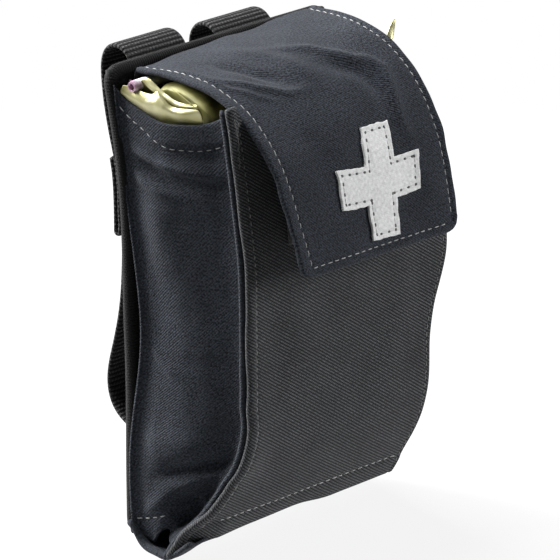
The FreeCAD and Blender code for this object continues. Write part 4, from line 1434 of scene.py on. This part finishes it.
def make_tourniquet():
    finish_nodes(PLASTIC, "tourniquet_plate", "windlass_rod", "windlass_clip", "tourniquet_buckle")
    low, high = box_of("tourniquet_strap")
    pitch = (high.y - low.y) / BAND_LAYERS
    rear = BACK_PLANE - high.y + pitch / 2
    bottom, top = low.z + pitch, high.z - pitch
    points = []
    for k in range(BAND_LAYERS):
        depth = rear + k * pitch
        rising = k % 2 == 0
        heights = np.linspace(bottom, top, 8)[:: 1 if rising else -1]
        points += [(depth + 0.1 * math.sin(h / 9 + k), h) for h in heights]
        if k < BAND_LAYERS - 1:
            end = top + pitch * 0.75 if rising else bottom - pitch * 0.75
            points.append((depth + pitch / 2, end))
    line = Line(points, 1)
    half = (high.x - low.x) / 2 - 0.6
    middle = (high.x + low.x) / 2
    along = np.linspace(0.5, line.length - 0.5, int(line.length / 1.2))
    x, s = grid(np.linspace(-half, half, 24), along)
    outer, inner = line.place(middle + x, s, 0.6), line.place(middle + x, s, -0.6)
    band = make_ply("tourniquet_webbing", outer, inner, cloth_uv(x, s), TOURNIQUET_TAPE)
    settle(band, "tourniquet_webbing", "tourniquet_strap")

    low, high = box_of("time_strap")
    across = np.linspace(low.x + 0.4, high.x - 0.4, 40)
    x, z = grid(across, np.linspace(low.z + 0.4, high.z - 0.4, 20))
    depth = BACK_PLANE - (low.y + high.y) / 2 + 0.3 * ripple(x, z, 14, 91)
    front, rear = point(x, depth + 0.4, z), point(x, depth - 0.4, z)
    tag = make_ply("time_tag_cloth", front, rear, cloth_uv(x, z), PALE_TAPE)
    settle(tag, "white_paper", "time_strap")


def pillow(node, place, width, height, swell, seed):
    """A sealed foil packet: two plies that swell apart inside a flat crimped fin.

    place(x, z, out) puts it in the frame.
    """
    a, b = grid(np.linspace(-1, 1, 70), np.linspace(-1, 1, 90))
    x, z = a * width / 2, b * height / 2
    inside = np.clip(np.minimum(1 - np.abs(a), (1 - np.abs(b)) * height / width), 0, 1)
    body = ease(inside / 0.16)
    dents = 1 + 0.35 * ripple(x, z, 7, seed) + 0.15 * ripple(x, z, 3, seed + 1)
    bulge = swell * body * np.clip(dents, 0.35, 1.6) * np.sqrt(np.clip(inside * 3, 0, 1))
    crimp = 0.12 * np.sin(2 * np.pi * z / 1.3) * (1 - body)
    bend = 0.8 * ripple(x, z, 15, seed + 2)
    outer, inner = (place(x, z, bend + way * (bulge / 2 + 0.18) + crimp) for way in (1, -1))
    packet = make_ply(node + "_pillow", outer, inner, cloth_uv(x, z), GOLD)
    settle(packet, "gold_foil", node)


def foil_surface(rows, along, across):
    """A smooth grid of points through rows of (x, depth, height)."""
    points = np.array(rows, float)
    for count in (along, across):
        knots = np.linspace(0, 1, points.shape[1])
        points = natural_spline(knots, np.swapaxes(points, 0, 1), np.linspace(0, 1, count))
    return points


def foil_leaf(name, rows, crumple, seed, material=GOLD, along=70, across=30):
    """A thin leaf of foil through rows of points."""
    spots = foil_surface(rows, along, across)
    x, depth, height = spots[..., 0], spots[..., 1], spots[..., 2]
    waver = crumple * (ripple(depth, height, 5, seed) + 0.4 * ripple(depth, height, 2, seed + 1))
    outer = point(x + waver, depth, height)
    inner = point(x + waver + 0.28, depth, height - 0.05)
    leaf = make_ply(name, outer, inner, cloth_uv(depth, height), material)
    settle(leaf, "gold_foil")
    return leaf


def front_packet_place(x, z, out):
    """Upright behind the front panel, with its top right corner pulled outwards and upwards."""
    outward = ease((x - 18) / 13) * ease((z - 55) / 7)
    upward = ease((x - 28) / 7.5) * ease((z - 53) / 10)
    return point(1.0 + x + 6.5 * outward, 32.0 - 2.4 * outward + out, 86 + z + 10 * upward)


LEFT_PACKET_TOP = [
    (5, 146), (7.5, 150.2), (12, 152.8), (16.6, 153.2), (21.5, 152.2), (26.5, 150.3), (29.8, 147.4),
    (31.6, 144),
]
LEFT_FIN = [(-41.4, 15.6, 151.9), (-41.8, 18.5, 151.2), (-42.0, 21.7, 150.1), (-42.0, 24.8, 148.7)]
FIN_SECTION = [(-0.8, 0.15), (0.5, 0.15), (0.6, 0), (0.5, -0.15), (-0.8, -0.15)]


def make_left_packet():
    """A full rounded packet whose top shows in the mouth of the pouch."""
    low, high = box_of("foil_packet_left")
    a, b = grid(np.linspace(-1, 1, 120), np.linspace(-1, 1, 120))
    a, b = np.sin(a * np.pi / 2), np.sin(b * np.pi / 2)
    x = (low.x + high.x) / 2 - 0.2 + 14.2 * a
    depth = 18.3 + 13.2 * b
    crown = smooth(LEFT_PACKET_TOP, depth) - 3.0 * np.abs(a) ** 6 + 0.5 * ripple(x, depth, 6, 105)
    drop = np.clip((np.abs(a) ** 9 + np.abs(b) ** 9 - 0.72) / 0.28, 0, 1)
    bottom = low.z + 2
    height = crown - (crown - bottom - 2) * drop**1.5
    x = x + 7.0 * ease((140 - height) / 12) * ease((depth - 10) / 14) * (a < 0)
    outer, inner = point(x, depth, height), point(0.7 * (x + 27) - 27, depth, bottom)
    packet = make_ply("foil_packet_left_pillow", outer, inner, cloth_uv(x, depth), OLIVE)
    settle(packet, "olive_foil", "foil_packet_left")
    make_left_fin()


def make_left_fin(steps=40):
    """The crimped seam that stands along the packet's top, swept along its run."""
    places = np.linspace(0, 1, steps)
    path = point(*natural_spline(np.linspace(0, 1, len(LEFT_FIN)), np.array(LEFT_FIN), places).T)
    out = np.array([-0.8, 0.0, 0.6])
    forward = np.gradient(path, axis=0)
    side = np.cross(forward / np.linalg.norm(forward, axis=1)[:, None], out)
    section = np.array(FIN_SECTION) * MM
    points = path[:, None] + out * section[:, :1] + side[:, None] * section[:, 1:]
    uv = np.stack(grid(distances(section), distances(path)), axis=-1).reshape(-1, 2)
    faces = tube_faces(0, steps, len(section))
    fin = make_object("foil_packet_left_fin", points.reshape(-1, 3), faces, OLIVE, uv)
    settle(fin, "olive_foil")


# Rows of (x, depth, height) down each leaf of the sachet's torn mouth.
SACHET_FRONT = [
    [(-46.6, -0.7, 150.8), (-45.4, 2.2, 150.5), (-44.0, 8.7, 149.5), (-43.6, 11.1, 150.8),
     (-43.2, 14.3, 148.5), (-42.8, 18.2, 147.0), (-41.6, 26.0, 147.7)],
    [(-47.0, -1.2, 148.8), (-46.4, 3.8, 147.5), (-45.9, 9.6, 146.7), (-45.6, 13.3, 147.1),
     (-44.9, 16.7, 146.2), (-43.8, 20.2, 145.4), (-41.5, 27.2, 146.5)],
    [(-45.9, -0.8, 146.6), (-45.0, 2.0, 143.8), (-44.2, 7.0, 141.5), (-43.6, 11.2, 140.2),
     (-42.8, 16.4, 140.7), (-41.9, 20.4, 141.4), (-40.2, 27.1, 143.1)],
    [(-44.0, 0.5, 141), (-43.0, 3.0, 137), (-42.0, 7.5, 135), (-41.2, 12.0, 134),
     (-40.4, 17.0, 134), (-39.6, 21.0, 135), (-38.4, 27.0, 138)],
]
SACHET_FOLD = [
    [(-43.2, 5.8, 154.0), (-43.2, 8.1, 153.5), (-43.0, 10.6, 151.9), (-42.6, 14.8, 149.8),
     (-42.0, 19.5, 148.5), (-41.2, 25.5, 149.0)],
    [(-43.9, 5.4, 153.5), (-43.9, 7.7, 152.5), (-43.8, 10.3, 151.1), (-43.3, 14.5, 149.2),
     (-42.7, 19.1, 147.9), (-41.8, 25.8, 148.6)],
    [(-43.7, 5.1, 152.9), (-43.7, 7.3, 151.4), (-43.6, 10.0, 150.2), (-43.0, 14.2, 148.5),
     (-42.4, 18.6, 147.2), (-41.4, 26.1, 148.1)],
]
SACHET_REAR = [
    [(-44.2, 1.6, 150.4), (-43.6, 3.4, 151.8), (-43.4, 5.6, 153.7), (-43.0, 8.2, 152.6),
     (-42.4, 11.5, 150.2)],
    [(-42.0, 2.6, 146.0), (-41.6, 5.0, 146.0), (-41.4, 7.5, 146.0), (-41.2, 10.0, 146.0),
     (-41.0, 12.5, 145.0)],
    [(-41.6, 3.0, 141.0), (-41.2, 5.5, 141.0), (-41.0, 8.0, 141.0), (-40.8, 10.5, 141.0),
     (-40.6, 13.0, 141.0)],
]


def make_sachet():
    """A flat sachet against the back panel, whose torn mouth stands in the mouth of the pouch."""
    low, high = box_of("foil_sachet")
    middle, top = (low.x + high.x) / 2, high.z - 1.5

    def flat(x, z, out):
        return point(middle + x, BACK_PLANE - (low.y + high.y) / 2 - out, (low.z + top) / 2 + z)

    pillow("foil_sachet", flat, high.x - low.x - 1, top - low.z, 2.2, 121)
    lip = foil_leaf("foil_sachet_front", SACHET_FRONT, 0.12, 131)
    edge = foil_leaf("foil_sachet_fold", SACHET_FOLD, 0.05, 133, across=14)
    # The inner rear leaf is the sachet's own gold foil, drawn in the darker olive foil as painted
    # shade inside the torn mouth.
    back = foil_leaf("foil_sachet_rear_in_painted_shade", SACHET_REAR, 0.1, 135, OLIVE, along=40)


def make_paper_roll():
    """A slip of paper rolled into a tube: its section is a spiral."""
    low, high = box_of("paper_roll")
    turns = np.linspace(0, 2.3 * 2 * np.pi, 60)
    radius = 1.05 + 0.7 * turns / turns[-1]
    depth, height = BACK_PLANE - (low.y + high.y) / 2, (low.z + high.z) / 2
    x, t = grid(np.linspace(low.x, high.x, 20), turns)
    r = np.interp(t, turns, radius)
    outer, inner = (
        point(x, depth + (r + half) * np.cos(t), height + (r + half) * np.sin(t))
        for half in (0.08, -0.08)
    )
    roll = make_ply("paper_slip_roll", outer, inner, cloth_uv(x, r * t), PAPER)
    settle(roll, "white_paper", "paper_roll")


make_tourniquet()
pillow("foil_packet_front", front_packet_place, 71, 126, 3.0, 111)
make_left_packet()
make_sachet()
make_paper_roll()
